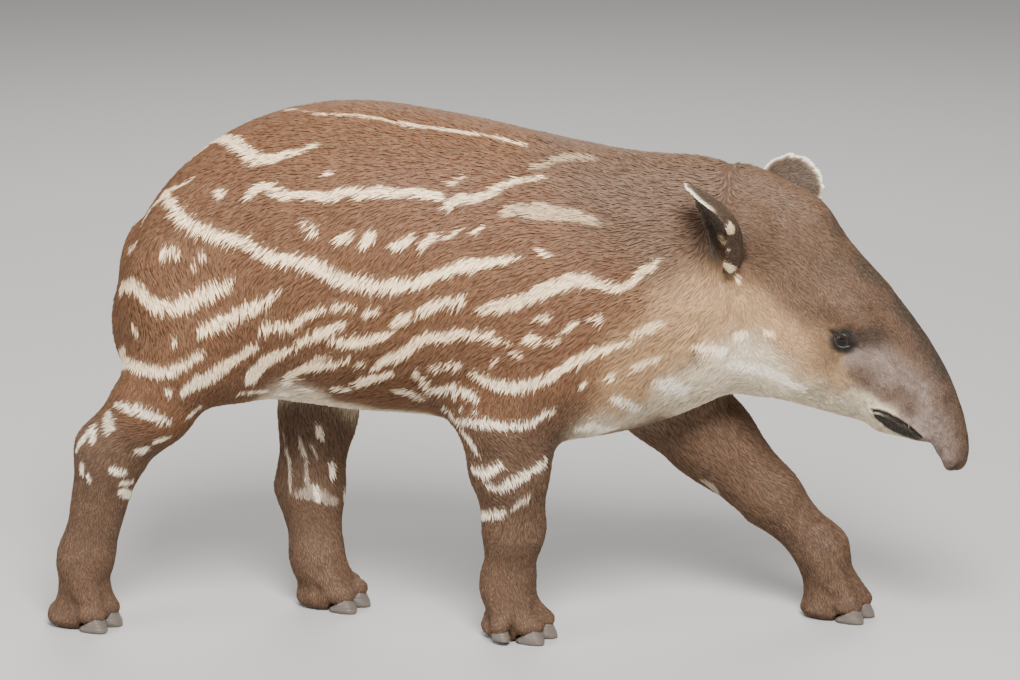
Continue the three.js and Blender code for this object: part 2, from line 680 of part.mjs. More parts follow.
// A hoof: a flat-soled wedge with a round toe, under the slanting plane of the coronet
function hoofRings(shape, grow) {
  const around = 10;
  const levels = [[grow ? -6 : 0, 0], [shape.height * 0.45, 0.5], [shape.height + 6, 1]];
  const positions = [];
  const faces = [];
  levels.forEach(([z, share], level) => {
    const back = -shape.length - grow;
    const frontAt = grow - Math.max(z, 0) * hoofSlope;
    const half = (shape.half + grow) * (1 - 0.07 * share);
    for (let j = 0; j < around; j++) {
      const turn = (2 * Math.PI * (j + 0.5)) / around;
      const c = Math.sign(Math.cos(turn)) * Math.abs(Math.cos(turn)) ** 0.75;
      const s = Math.sign(Math.sin(turn)) * Math.abs(Math.sin(turn)) ** 0.75;
      positions.push(vec((frontAt + back) / 2 + (c * (frontAt - back)) / 2, half * s, z));
      if (level === levels.length - 1) continue;
      const next = (j + 1) % around;
      const [a, b] = [level * around + j, level * around + next];
      faces.push(a, b, a + around, b, b + around, a + around);
    }
  });
  const last = (levels.length - 1) * around;
  for (let j = 1; j < around - 1; j++) faces.push(0, j + 1, j, last, last + j, last + j + 1);
  const geometry = new THREE.BufferGeometry().setFromPoints(positions);
  geometry.setIndex(faces);
  return geometry;
}

// Everything under a toe's coronet plane, lowered by drop.
function underCoronet(place, drop) {
  const point = vec(-8, 0, place.shape.height).applyMatrix4(place.frame);
  const down = vec(0.5, 0, -0.866).transformDirection(place.frame);
  return halfSpace(point, down, drop);
}

function hoofSpace(place) {
  const { length, half } = place.shape;
  const box = new THREE.BoxGeometry(length + 12, 2 * (half + 1.2), 60).translate(6 - length / 2 - gap, 0, 20);
  return solid(box, place.frame).intersect(underCoronet(place, 0));
}

for (const [name, limb] of Object.entries(limbs)) {
  const { leg, front } = limb;
  const planes = regions[name];
  const upperJoints = front ? [leg.shoulder, leg.elbow, leg.wrist] : [leg.hip, leg.knee, leg.hock];
  const joints = [...upperJoints, leg.ankle];
  const upperCut = [joints[1], joints[2].clone().sub(joints[0])];
  const lowerCut = [joints[2], joints[3].clone().sub(joints[1])];
  const box = new THREE.Box3().setFromPoints([...joints, leg.toes]).expandByScalar(120);
  box.min.z = -20;
  const long = fleshIn(box.min, box.max, legCell).intersect(wedge(planes)).intersect(floor);
  const footBox = new THREE.Box3().setFromPoints([joints[2], joints[3], leg.toes]).expandByScalar(75);
  footBox.min.z = -20;
  let foot = fleshIn(footBox.min, footBox.max, footCell).intersect(wedge(planes)).intersect(floor);
  for (const place of toesOf(leg, limb.toes)) {
    foot = foot.subtract(hoofSpace(place)).subtract(solid(hoofRings(place.shape, gap), place.frame));
    const hoof = solid(hoofRings(place.shape, 0), place.frame).intersect(underCoronet(place, gap));
    addNode(`hoof_${place.name}_${name}`, hoof, horn);
  }
  addNode(`${front ? 'upper_arm' : 'thigh'}_${name}`, long.subtract(halfSpace(...upperCut)), hide);
  addNode(`${front ? 'forearm' : 'shank'}_${name}`,
    long.intersect(halfSpace(...upperCut, gap)).subtract(halfSpace(...lowerCut)), hide);
  addNode(`foot_${name}`, foot.intersect(halfSpace(...lowerCut, gap)), hide);
}

// The origin goes under the middle of the whole animal, on the floor.
const extent = new THREE.Box3().setFromObject(parts);
const floorMiddle = extent.getCenter(vec(0, 0, 0)).setZ(extent.min.z);
for (const node of parts.children) node.geometry.translate(-floorMiddle.x, -floorMiddle.y, -floorMiddle.z);

export default parts;
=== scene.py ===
# A lowland tapir calf in mid step, life size: hide, short striped coat, eyes and hooves.
import math

import bmesh
import bpy
import numpy as np
from mathutils import Matrix, Vector
from mathutils.bvhtree import BVHTree


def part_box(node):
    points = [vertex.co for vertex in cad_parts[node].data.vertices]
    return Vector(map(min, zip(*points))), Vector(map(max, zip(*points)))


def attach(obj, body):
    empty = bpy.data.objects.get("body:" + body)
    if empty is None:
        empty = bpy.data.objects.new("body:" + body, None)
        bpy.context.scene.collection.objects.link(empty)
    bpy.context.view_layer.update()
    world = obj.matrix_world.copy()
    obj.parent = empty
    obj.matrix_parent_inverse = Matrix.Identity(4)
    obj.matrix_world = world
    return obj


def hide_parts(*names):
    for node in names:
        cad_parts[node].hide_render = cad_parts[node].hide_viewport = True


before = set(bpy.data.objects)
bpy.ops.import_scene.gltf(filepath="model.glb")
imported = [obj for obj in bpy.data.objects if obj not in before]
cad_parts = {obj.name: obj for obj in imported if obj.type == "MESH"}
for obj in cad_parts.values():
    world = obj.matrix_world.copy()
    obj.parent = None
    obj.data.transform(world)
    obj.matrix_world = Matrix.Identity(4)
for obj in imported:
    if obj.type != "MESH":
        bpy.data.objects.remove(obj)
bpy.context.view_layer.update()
chance = np.random.default_rng(7)


# Small tools for meshes and numbers


def newPiece(name, mesh):
    piece = bpy.data.objects.new(name, mesh)
    bpy.context.scene.collection.objects.link(piece)
    return piece


def applied(piece):
    evaluated = piece.evaluated_get(bpy.context.evaluated_depsgraph_get())
    mesh = bpy.data.meshes.new_from_object(evaluated)
    piece.modifiers.clear()
    piece.data = mesh
    return mesh


def read(items, name, width, kind=np.float32):
    flat = np.empty(len(items) * width, kind)
    items.foreach_get(name, flat)
    return flat.reshape(-1, width) if width > 1 else flat


def placesOf(mesh):
    return read(mesh.vertices, "co", 3).astype(float)


def setPlaces(mesh, places):
    mesh.vertices.foreach_set("co", places.astype(np.float32).ravel())
    mesh.update()


def unit(vectors):
    return vectors / np.maximum(np.linalg.norm(vectors, axis=-1, keepdims=True), 1e-9)


def ease(low, high, values):
    # 0 at low, 1 at high, level at both ends
    share = np.clip((values - low) / (high - low), 0, 1)
    return share * share * (3 - 2 * share)


def hump(values, middle, half):
    return np.exp(-((values - middle) / half) ** 2)


def middleOf(node):
    low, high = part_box(node)
    return (np.array(low) + np.array(high)) / 2


def edgesOf(mesh):
    return read(mesh.edges, "vertices", 2, np.int32)


def normalsOf(mesh):
    return read(mesh.vertex_normals, "vector", 3)


noiseCells = 32
noiseTable = np.random.default_rng(11).random((noiseCells, noiseCells, noiseCells))


def noise(places, size):
    # -1 to 1, in lumps of that size
    at = places / size
    low = np.floor(at).astype(int)
    share = at - low
    share = share * share * (3 - 2 * share)
    total = 0.0
    for corner in range(8):
        step = np.array([corner & 1, corner >> 1 & 1, corner >> 2])
        weight = np.prod(np.where(step, share, 1 - share), axis=1)
        cell = (low + step) % noiseCells
        total = total + weight * noiseTable[cell[:, 0], cell[:, 1], cell[:, 2]]
    return total * 2 - 1


def spread(values, edges, weight, passes):
    # each vertex moves towards the mean of its neighbours
    ends = np.concatenate([edges[:, 0], edges[:, 1]])
    others = np.concatenate([edges[:, 1], edges[:, 0]])
    order = np.argsort(ends, kind="stable")
    others = others[order]
    starts = np.searchsorted(ends[order], np.arange(len(values)))
    valence = np.maximum(np.bincount(ends, minlength=len(values)), 1).astype(float)
    share = 0.5 * np.asarray(weight, float) * np.ones(len(values))
    if values.ndim > 1:
        valence, share = valence[:, None], share[:, None]
    for _ in range(passes):
        mean = np.add.reduceat(values[others], starts, axis=0) / valence
        values = values + share * (mean - values)
    return values


# The camera stands on the calf's right side, a little above its back

view = {
    "frameWidth": 1020,  # pixels
    "frameHeight": 680,
    "azimuth": 5.0,  # degrees, towards the tail
    "elevation": 13.0,
    "distance": 4.2,  # metres
    "focal": 4000.0,  # pixels
    "sensor": 36.0,  # mm
    "target": (0.003766, 0.0, 0.308),
    "clipEnd": 50,
}
pixel = view["distance"] / view["focal"]  # metres on the calf for one pixel


def lookVectors():
    turn, lift = math.radians(view["azimuth"]), math.radians(view["elevation"])
    level = math.cos(lift)
    back = np.array([math.sin(turn) * level, -math.cos(turn) * level, math.sin(lift)])
    right = np.array([math.cos(turn), math.sin(turn), 0.0])
    return back, right, np.cross(back, right)


lookBack, lookRight, lookUp = lookVectors()
eyePoint = np.array(view["target"]) + lookBack * view["distance"]


def pixelRay(px, py):
    across, down = px - view["frameWidth"] / 2, py - view["frameHeight"] / 2
    return unit(lookRight * across - lookUp * down - lookBack * view["focal"])


def makeCamera():
    data = bpy.data.cameras.new("camera")
    data.lens = view["focal"] / view["frameWidth"] * view["sensor"]
    data.sensor_width = view["sensor"]
    data.clip_end = view["clipEnd"]
    camera = bpy.data.objects.new("camera", data)
    bpy.context.scene.collection.objects.link(camera)
    camera.location = eyePoint
    camera.rotation_mode = "QUATERNION"
    camera.rotation_quaternion = Vector(-lookBack).to_track_quat("-Z", "Y")
    bpy.context.scene.camera = camera


makeCamera()
print("camera set")


# Shader maths as plain expressions


class Wire:
    def __init__(self, finish, socket):
        self.finish, self.socket = finish, socket

    def joined(self, operation, first, second):
        return self.finish.add("ShaderNodeMath", {"operation": operation}, {0: first, 1: second})

    def __add__(self, other):
        return self.joined("ADD", self, other)

    def __radd__(self, other):
        return self.joined("ADD", other, self)

    def __sub__(self, other):
        return self.joined("SUBTRACT", self, other)

    def __rsub__(self, other):
        return self.joined("SUBTRACT", other, self)

    def __mul__(self, other):
        return self.joined("MULTIPLY", self, other)

    def __rmul__(self, other):
        return self.joined("MULTIPLY", other, self)


class Finish:
    def __init__(self, name):
        self.material = bpy.data.materials.new(name)
        self.material.use_nodes = True
        self.tree = self.material.node_tree
        self.shader = self.tree.nodes["Principled BSDF"]

    def add(self, kind, settings=None, inputs=None, output=0):
        node = self.tree.nodes.new(kind)
        for name, value in (settings or {}).items():
            if name == "stops":
                for stop, (place, colour) in zip(self.rampStops(node, len(value)), value):
                    stop.position, stop.color = place, (*colour, 1)
            else:
                setattr(node, name, value)
        for name, value in (inputs or {}).items():
            self.feed(node.inputs[name], value)
        return Wire(self, node.outputs[output])

    def rampStops(self, node, count):
        stops = node.color_ramp.elements
        while len(stops) < count:
            stops.new(0.5)
        return stops

    def feed(self, socket, value):
        if isinstance(value, Wire):
            self.tree.links.new(value.socket, socket)
        elif isinstance(value, tuple) and len(value) == 3 and socket.type == "RGBA":
            socket.default_value = (*value, 1)
        else:
            socket.default_value = value

    def mix(self, share, first, second):
        settings = {"data_type": "RGBA", "clamp_factor": True}
        return self.add("ShaderNodeMix", settings, {0: share, 6: first, 7: second}, 2)

    def scaled(self, colour, amount):
        return self.add("ShaderNodeVectorMath", {"operation": "SCALE"}, {0: colour, 3: amount})

    def summed(self, first, second):
        return self.add("ShaderNodeVectorMath", {"operation": "ADD"}, {0: first, 1: second})

    def channels(self, name):
        colour = self.add("ShaderNodeAttribute", {"attribute_name": name})
        split = self.add("ShaderNodeSeparateColor", {}, {0: colour})
        return [Wire(self, socket) for socket in split.socket.node.outputs]

    def speckle(self, scale, detail=2.0, stretch=(1, 1, 1)):
        where = self.add("ShaderNodeTexCoord", {}, {}, 3)
        where = self.add("ShaderNodeMapping", {}, {0: where, 3: stretch})
        inputs = {"Vector": where, "Scale": scale, "Detail": detail}
        return self.add("ShaderNodeTexNoise", {}, inputs)

    def bump(self, height, distance):
        return self.add("ShaderNodeBump", {}, {"Distance": distance, "Height": height})

    def set(self, **values):
        for name, value in values.items():
            self.feed(self.shader.inputs[name.replace("_", " ")], value)
        return self.material


# Plain studio: pale floor, soft lights

studio = {
    "floor": (0.44, 0.43, 0.41),
    "floorHalf": 6.0,  # metres
    "floorDrop": 0.0005,  # how far it lies under the hooves
    "world": 0.44,
    "key": {"place": (0.5, -2.7, 2.9), "size": 1.5, "power": 365},
    "fill": {"place": (-2.8, -1.6, 1.6), "size": 2.2, "power": 60},
    "rim": {"place": (-0.4, 2.8, 2.8), "size": 1.8, "power": 90},
}


def makeStudio():
    half, drop = studio["floorHalf"], studio["floorDrop"]
    mesh = bpy.data.meshes.new("floor")
    corners = [(x * half, y * half, -drop) for x, y in ((-1, -1), (1, -1), (1, 1), (-1, 1))]
    mesh.from_pydata(corners, [], [(0, 1, 2, 3)])
    floor = newPiece("floor", mesh)
    finish = Finish("floor")
    grain = finish.speckle(180, 3)
    tone = finish.mix(grain, tuple(c * 0.97 for c in studio["floor"]), studio["floor"])
    mesh.materials.append(finish.set(Base_Color=tone, Roughness=0.9))
    world = bpy.data.worlds.new("studio")
    bpy.context.scene.world = world
    world.use_nodes = True
    inputs = world.node_tree.nodes["Background"].inputs
    inputs["Color"].default_value = (1, 1, 1, 1)
    inputs["Strength"].default_value = studio["world"]
    for name in ("key", "fill", "rim"):
        light = bpy.data.lights.new(name, "AREA")
        light.size = studio[name]["size"]
        light.energy = studio[name]["power"]
        lamp = newPiece(name, light)
        lamp.location = studio[name]["place"]
        lamp.rotation_mode = "QUATERNION"
        aim = Vector(view["target"]) - lamp.location
        lamp.rotation_quaternion = aim.to_track_quat("-Z", "Y")


makeStudio()


# The hide: one skin over all the nodes of flesh

hide = {
    "voxel": 0.0026,  # metres
    "passes": 95,  # of smoothing
    "blend": 30,  # passes that blend one region's values into the next
    # how much of the facets is smoothed away, and how deep the skin lies under the coat
    "softness": {"torso": 1.0, "neck": 0.7, "head": 0.12, "tail": 0.1, "ear": 0.012,
                 "foot": 0.03, "limb": 0.45, "eye": 0.02},
    "depth": {"torso": 0.0020, "neck": 0.0020, "head": 0.0008, "tail": 0.001, "ear": 0.0003,
              "foot": 0.0008, "limb": 0.0014, "eye": 0.0},
    # the flesh over a hoof, as shares of the hoof's size, then metres
    "toe": {"back": 0.1, "long": 0.52, "wide": 0.5, "high": 0.5, "lift": 0.001, "more": 0.003},
}
nodeNames = sorted(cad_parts)
eyeNodes = [name for name in nodeNames if name.startswith("eye")]
hoofNodes = [name for name in nodeNames if name.startswith("hoof")]
fleshNodes = [name for name in nodeNames if name not in eyeNodes + hoofNodes]
limbNodes = ("upper_arm", "forearm", "thigh", "shank")


def regionOf(node):
    return "limb" if node.startswith(limbNodes) else node.split("_")[0]


def fleshJoined():
    joined = bmesh.new()
    for name in fleshNodes + eyeNodes:
        joined.from_mesh(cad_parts[name].data)
    bmesh.ops.remove_doubles(joined, verts=joined.verts, dist=1e-5)
    toe = hide["toe"]
    for name in hoofNodes:
        low, high = (np.array(corner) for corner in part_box(name))
        size = high - low
        place = middleOf(name) - (toe["back"] * size[0], 0, 0)
        place = place * (1, 1, 0) + (0, 0, high[2] + toe["lift"])
        radii = (toe["long"] * size[0], toe["wide"] * size[1], toe["high"] * size[2] + toe["more"])
        turn = Matrix.Translation(place) @ Matrix.Diagonal((*radii, 1))
        bmesh.ops.create_icosphere(joined, subdivisions=3, radius=1, matrix=turn)
    mesh = bpy.data.meshes.new("hide")
    joined.to_mesh(mesh)
    joined.free()
    return newPiece("hide", mesh)


def nearestNodes(places):
    # the node that each point of the skin comes from
    corners, faces, owners = [], [], []
    for name in fleshNodes + eyeNodes:
        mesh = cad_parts[name].data
        faces += [[vertex + len(corners) for vertex in face.vertices] for face in mesh.polygons]
        owners += [name] * len(mesh.polygons)
        corners += [tuple(vertex.co) for vertex in mesh.vertices]
    tree = BVHTree.FromPolygons(corners, faces)
    return [owners[tree.find_nearest(Vector(place))[2]] for place in places]


def makeHide():
    piece = fleshJoined()
    remesh = piece.modifiers.new("remesh", "REMESH")
    remesh.mode = "VOXEL"
    remesh.voxel_size = hide["voxel"]
    mesh = applied(piece)
    places = placesOf(mesh)
    edges = edgesOf(mesh)
    owners = nearestNodes(places)
    softness, depth = (
        spread(np.array([hide[kind][regionOf(name)] for name in owners]), edges, 1, hide["blend"])
        for kind in ("softness", "depth")
    )
    smooth = spread(places, edges, softness, hide["passes"])
    smooth = smooth + spread(places - smooth, edges, softness, hide["passes"])
    setPlaces(mesh, smooth)
    setPlaces(mesh, smooth - normalsOf(mesh) * depth[:, None])
    mesh.shade_smooth()
    print("hide smoothed,", len(places), "points")
    return piece, owners


skin, skinOwners = makeHide()
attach(skin, "root")
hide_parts(*fleshNodes)


# Mirror planes: the head is turned and tilted, so its left side isn't the body's

headFrame = {
    "place": (0.265766, 0.0, 0.432),
    "pitch": 20.0,  # degrees
    "yaw": -15.0,
    "roll": 11.0,
    "back": -0.02,  # metres along the head, where the body's own plane takes over
}
headTurn = np.array(
    Matrix.Rotation(math.radians(headFrame["yaw"]), 3, "Z")
    @ Matrix.Rotation(math.radians(headFrame["pitch"]), 3, "Y")
    @ Matrix.Rotation(math.radians(headFrame["roll"]), 3, "X")
)


def toHead(places):
    return (places - np.array(headFrame["place"])) @ headTurn


def fromHead(places):
    return places @ headTurn.T + np.array(headFrame["place"])


def mirrored(place):
    local = toHead(np.asarray(place, float))
    if local[0] > headFrame["back"]:
        return fromHead(local * (1, -1, 1))
    return np.asarray(place) * (1, -1, 1)


# Finer points of the head and skin, each by the pixels that show it, then mirrored

headDetails = {
    "eyeReach": 0.024,  # metres round the eye made fine
    "mouthReach": 0.011,
    "noseReach": 0.014,
    "wrinkleReach": 0.008,
    "evenPasses": 8,
    "creaseEdge": 0.3,  # how high a crease's edges rise, as a share of its depth
    "creaseEdgeAt": 2.3,  # and how far out, in half widths
}
eyeShape = {
    "halfLength": 0.0087,
    "above": 0.0064,
    "below": 0.0052,
    "tilt": 30.0,  # degrees, the inner corner lower
    "lid": 0.0013,  # how far the lid lies over the ball
    "sink": 0.0035,  # how far the skin lies under the ball's surface inside the opening
    "ridge": 0.0006,
    "ridgeAt": (0.0013, 0.0009),  # middle and half width, out from the opening's edge
    "foldAbove": 0.0008,
    "foldBelow": 0.0005,
    "foldAt": (0.0042, 0.0009),
    "roll": 0.6,  # beyond the fold, as a share of its depth
    "rollAt": (0.0060, 0.0012),
    "blend": (0.0105, 0.0035),  # where the lids run out into the face
}
creases = {  # half width and depth in metres, then the way in pixels
    "mouth": (0.0015, 0.0032, [
        (872, 410), (880, 411), (888, 414), (898, 420), (910, 428), (921, 437)
    ]),
    "throat": (0.004, 0.0026, [(697, 338), (696, 356), (699, 372)]),
    "nape": (0.004, 0.002, [(735, 292), (731, 306), (728, 320)]),
    "earFold": (0.003, 0.0018, [(757, 220), (768, 224), (780, 233)]),
    "noseOne": (0.0012, 0.0007, [(930, 405), (946, 398), (958, 396)]),
    "noseTwo": (0.0012, 0.0007, [(932, 420), (950, 414), (963, 413)]),
    "noseThree": (0.0012, 0.0007, [(935, 434), (953, 430), (967, 430)]),
}
swellings = {  # pixel, reach and height
    "brow": ((866, 312), 0.013, 0.0014),
    "hollow": ((886, 345), 0.014, -0.003),
    "cheek": ((800, 330), 0.03, 0.002),
    "nostril": ((941, 461), 0.0042, -0.005),
}


def treeOf(mesh):
    return BVHTree.FromPolygons(
        [tuple(place) for place in placesOf(mesh)],
        [tuple(face.vertices) for face in mesh.polygons],
    )


def eyeFrames():
    frames = []
    for name, side in (("eye_right", -1), ("eye_left", 1)):
        low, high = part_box(name)
        centre = middleOf(name)
        out = unit(headTurn @ np.array([0.12, side, 0.04]))
        tilt = math.radians(eyeShape["tilt"])
        corner = centre + lookRight * math.cos(tilt) - lookUp * math.sin(tilt)
        slit = toHead(corner) - toHead(centre)
        slit = headTurn @ (slit * (1, -side, 1))
        slit = unit(slit - out * (slit @ out))
        up = np.cross(slit, out) * -side
        frames.append({"name": name, "centre": centre, "radius": (high[0] - low[0]) / 2,
                       "out": out, "slit": slit, "up": up * np.sign(up[2])})
    return frames


def refined(mesh, zones):
    # faces cut in four, twice, where the middle lies in a zone
    work = bmesh.new()
    work.from_mesh(mesh)
    for _ in range(2):
        middles = np.array([face.calc_center_median() for face in work.faces])
        inside = np.zeros(len(middles), bool)
        for centre, reach in zones:
            inside |= ((middles - centre) ** 2).sum(1) < reach * reach
        work.faces.ensure_lookup_table()
        chosen = {edge for index in np.flatnonzero(inside) for edge in work.faces[index].edges}
        bmesh.ops.subdivide_edges(work, edges=list(chosen), cuts=1, use_grid_fill=True)
    work.to_mesh(mesh)
    work.free()
    mesh.shade_smooth()


def gapAndShare(places, first, last):
    # from each place to one stretch of a way, and how far along it that is
    along = last - first
    share = np.clip((places - first) @ along / max(along @ along, 1e-12), 0, 1)
    return np.linalg.norm(places - first - share[:, None] * along, axis=1), share


def gapTo(places, way):
    return np.min([gapAndShare(places, *ends)[0] for ends in zip(way[:-1], way[1:])], axis=0)


def eyeArcs(places, eye):
    # each place by its turn and distance from the eye's middle, and its arc to the opening's edge
    offset = places - eye["centre"]
    far = np.linalg.norm(offset, axis=1)
    turn = offset / far[:, None]
    out = turn @ eye["out"]
    across = np.arctan2(turn @ eye["slit"], out) * eye["radius"]
    rise = np.arctan2(turn @ eye["up"], out) * eye["radius"]
    full = np.clip(1 - (across / eyeShape["halfLength"]) ** 2, 0, None)
    within = np.maximum(rise - eyeShape["above"] * full, -eyeShape["below"] * full - rise)
    beside = np.hypot(np.maximum(np.abs(across) - eyeShape["halfLength"], 0), rise)
    edge = np.where(np.abs(across) < eyeShape["halfLength"], within, beside)
    return turn, far, edge, rise


def setLids(places, eye):
    reach = headDetails["eyeReach"] * 0.98
    near = np.flatnonzero(np.linalg.norm(places - eye["centre"], axis=1) < reach)
    turn, far, edge, rise = eyeArcs(places[near], eye)
    lid = eye["radius"] + eyeShape["lid"] + eyeShape["ridge"] * hump(edge, *eyeShape["ridgeAt"])
    depth = np.where(rise > 0, eyeShape["foldAbove"], eyeShape["foldBelow"])
    lid = lid - depth * hump(edge, *eyeShape["foldAt"])
    lid = lid + eyeShape["roll"] * depth * hump(edge, *eyeShape["rollAt"])
    inner = eye["radius"] - eyeShape["sink"]
    lid = inner + (lid - inner) * ease(-0.0007, 0.0004, edge)
    share = ease(*eyeShape["blend"], edge)
    places[near] = eye["centre"] + turn * (far * (1 - share) + lid * share)[:, None]
    return places


def onTree(tree, px, py):
    # the place that a pixel shows, or the nearest to it, and the normal there
    hit = tree.ray_cast(Vector(eyePoint), Vector(pixelRay(px, py)))
    if hit[0] is None:
        hit = tree.find_nearest(Vector(eyePoint + pixelRay(px, py) * view["distance"]))
    return np.array(hit[0]), np.array(hit[1])


def bothSides(tree, pixels):
    right = [onTree(tree, px, py)[0] for px, py in pixels]
    left = [np.array(tree.find_nearest(Vector(mirrored(place)))[0]) for place in right]
    return [np.array(right), np.array(left)]


def shapeHead(mesh):
    tree = treeOf(mesh)
    ways = {name: bothSides(tree, crease[2]) for name, crease in creases.items()}
    lumps = {name: bothSides(tree, [lump[0]]) for name, lump in swellings.items()}
    eyesFound = eyeFrames()
    zones = [(eye["centre"], headDetails["eyeReach"]) for eye in eyesFound]
    zones += [(place, headDetails["mouthReach"]) for way in ways["mouth"] for place in way]
    zones += [(place[0], headDetails["noseReach"]) for place in lumps["nostril"]]
    for name in ("noseOne", "noseTwo", "noseThree"):
        zones += [(place, headDetails["wrinkleReach"]) for way in ways[name] for place in way]
    refined(mesh, zones)
    places = placesOf(mesh)
    edges = edgesOf(mesh)
    fine = np.zeros(len(places))
    for centre, reach in zones:
        gap = np.linalg.norm(places - centre, axis=1)
        fine = np.maximum(fine, ease(reach, reach * 0.8, gap))
    places = spread(places, edges, fine, headDetails["evenPasses"])
    normals = normalsOf(mesh)
    for name, (half, depth, _) in creases.items():
        for way in ways[name]:
            gap = gapTo(places, way)
            edge = headDetails["creaseEdge"] * hump(gap, headDetails["creaseEdgeAt"] * half, half)
            places = places - normals * (depth * (hump(gap, 0, half) - edge))[:, None]
    for name, (_, reach, height) in swellings.items():
        for place in lumps[name]:
            gap = np.linalg.norm(places - place[0], axis=1)
            places = places + normals * (height * hump(gap, 0, reach))[:, None]
    for eye in eyesFound:
        places = setLids(places, eye)
    setPlaces(mesh, places)
    print("head shaped,", len(places), "points")
    return eyesFound, ways


eyesFound, creaseWays = shapeHead(skin.data)
skinOwners = nearestNodes(placesOf(skin.data))
skinTree = treeOf(skin.data)


def settled(place):
    return np.array(skinTree.find_nearest(Vector(place))[0])


# Where each tone of the coat is centred: its reach in mm, then the pixels that show it

toneNames = ("redBrown", "greyBrown", "buff", "pale", "dark", "mauve")
tonePatches = {
    "back": ("redBrown", 60, [
        (180, 200), (260, 120), (360, 105), (470, 125), (250, 220), (350, 230), (450, 230),
        (150, 300), (250, 310), (350, 320), (450, 310), (530, 330), (530, 240), (180, 370),
        (430, 360), (560, 370)
    ]),
    "shoulder": ("greyBrown", 45, [(590, 160), (650, 170), (610, 215), (660, 240), (700, 175)]),
    "breast": ("redBrown", 40, [(600, 320), (620, 280)]),
    "neckLow": ("buff", 34, [(650, 345), (690, 300), (700, 330), (630, 385)]),
    "throat": ("pale", 26, [(680, 385), (720, 365), (700, 398), (745, 372)]),
    "jaw": ("pale", 22, [(775, 376), (800, 388), (835, 402), (862, 414), (755, 356)]),
    "jawSide": ("buff", 16, [(815, 372), (835, 385), (795, 362)]),
    "cheek": ("buff", 24, [(775, 335), (745, 305), (805, 345)]),
    "eyeBack": ("greyBrown", 13, [(805, 318), (812, 338), (820, 356)]),
    "crown": ("greyBrown", 26, [
        (760, 185), (770, 220), (730, 190), (790, 250), (775, 275), (808, 280)
    ]),
    "forehead": ("greyBrown", 24, [(830, 270), (870, 300), (820, 240), (800, 215)]),
    "brow": ("greyBrown", 19, [
        (850, 292), (870, 312), (885, 328), (900, 345), (915, 362), (830, 300)
    ]),
    "noseTop": ("dark", 14, [
        (896, 296), (910, 313), (923, 332), (935, 352), (945, 370), (955, 390), (963, 412),
        (969, 436), (880, 276), (866, 258), (850, 238), (836, 222)
    ]),
    # painted shade: a dark tone laid in the hollow ahead of the eye, where shade falls
    "eyeHollowShade": ("dark", 11, [(872, 333), (884, 342)]),
    "muzzle": ("greyBrown", 12, [(868, 372), (892, 388), (912, 402)]),
    "jawSpot": ("dark", 5, [(808, 388)]),
    # painted shade: a dark tone laid along the throat's crease
    "throatFoldShade": ("dark", 6, [(697, 348)]),
    "noseTip": ("greyBrown", 17, [(945, 395), (955, 415), (962, 435), (966, 452), (952, 468)]),
    "chest": ("greyBrown", 30, [(640, 432), (655, 420), (560, 420)]),
    # the snout's sides: their own mauve, made lighter to carry painted sheen
    "noseSideMauveAndSheen": ("mauve", 19, [(900, 375), (925, 400), (936, 425), (880, 360), (946, 450)]),
    "belly": ("pale", 24, [(300, 396), (360, 408), (420, 414), (570, 440), (600, 430), (640, 415)]),
    "hock": ("greyBrown", 24, [(110, 450), (140, 460), (95, 460)]),
    "foreArm": ("greyBrown", 26, [(500, 450), (530, 450), (510, 480)]),
    "hindFoot": ("greyBrown", 30, [(90, 510), (100, 540), (95, 590), (85, 610)]),
    "frontFoot": ("greyBrown", 30, [(510, 530), (510, 570), (510, 600), (520, 625)]),
    "farHind": ("greyBrown", 30, [(310, 430), (315, 480), (320, 520), (320, 560), (325, 590)]),
    "farFore": ("greyBrown", 30, [(700, 440), (760, 470), (800, 520), (830, 570), (830, 600)]),
}


# Cream stripes: how strong, then pixel across, pixel down and half width in pixels.
# Cream spots: pixel across and down at both ends, then half width.
# Those whose names start with thin or far are on one side only.

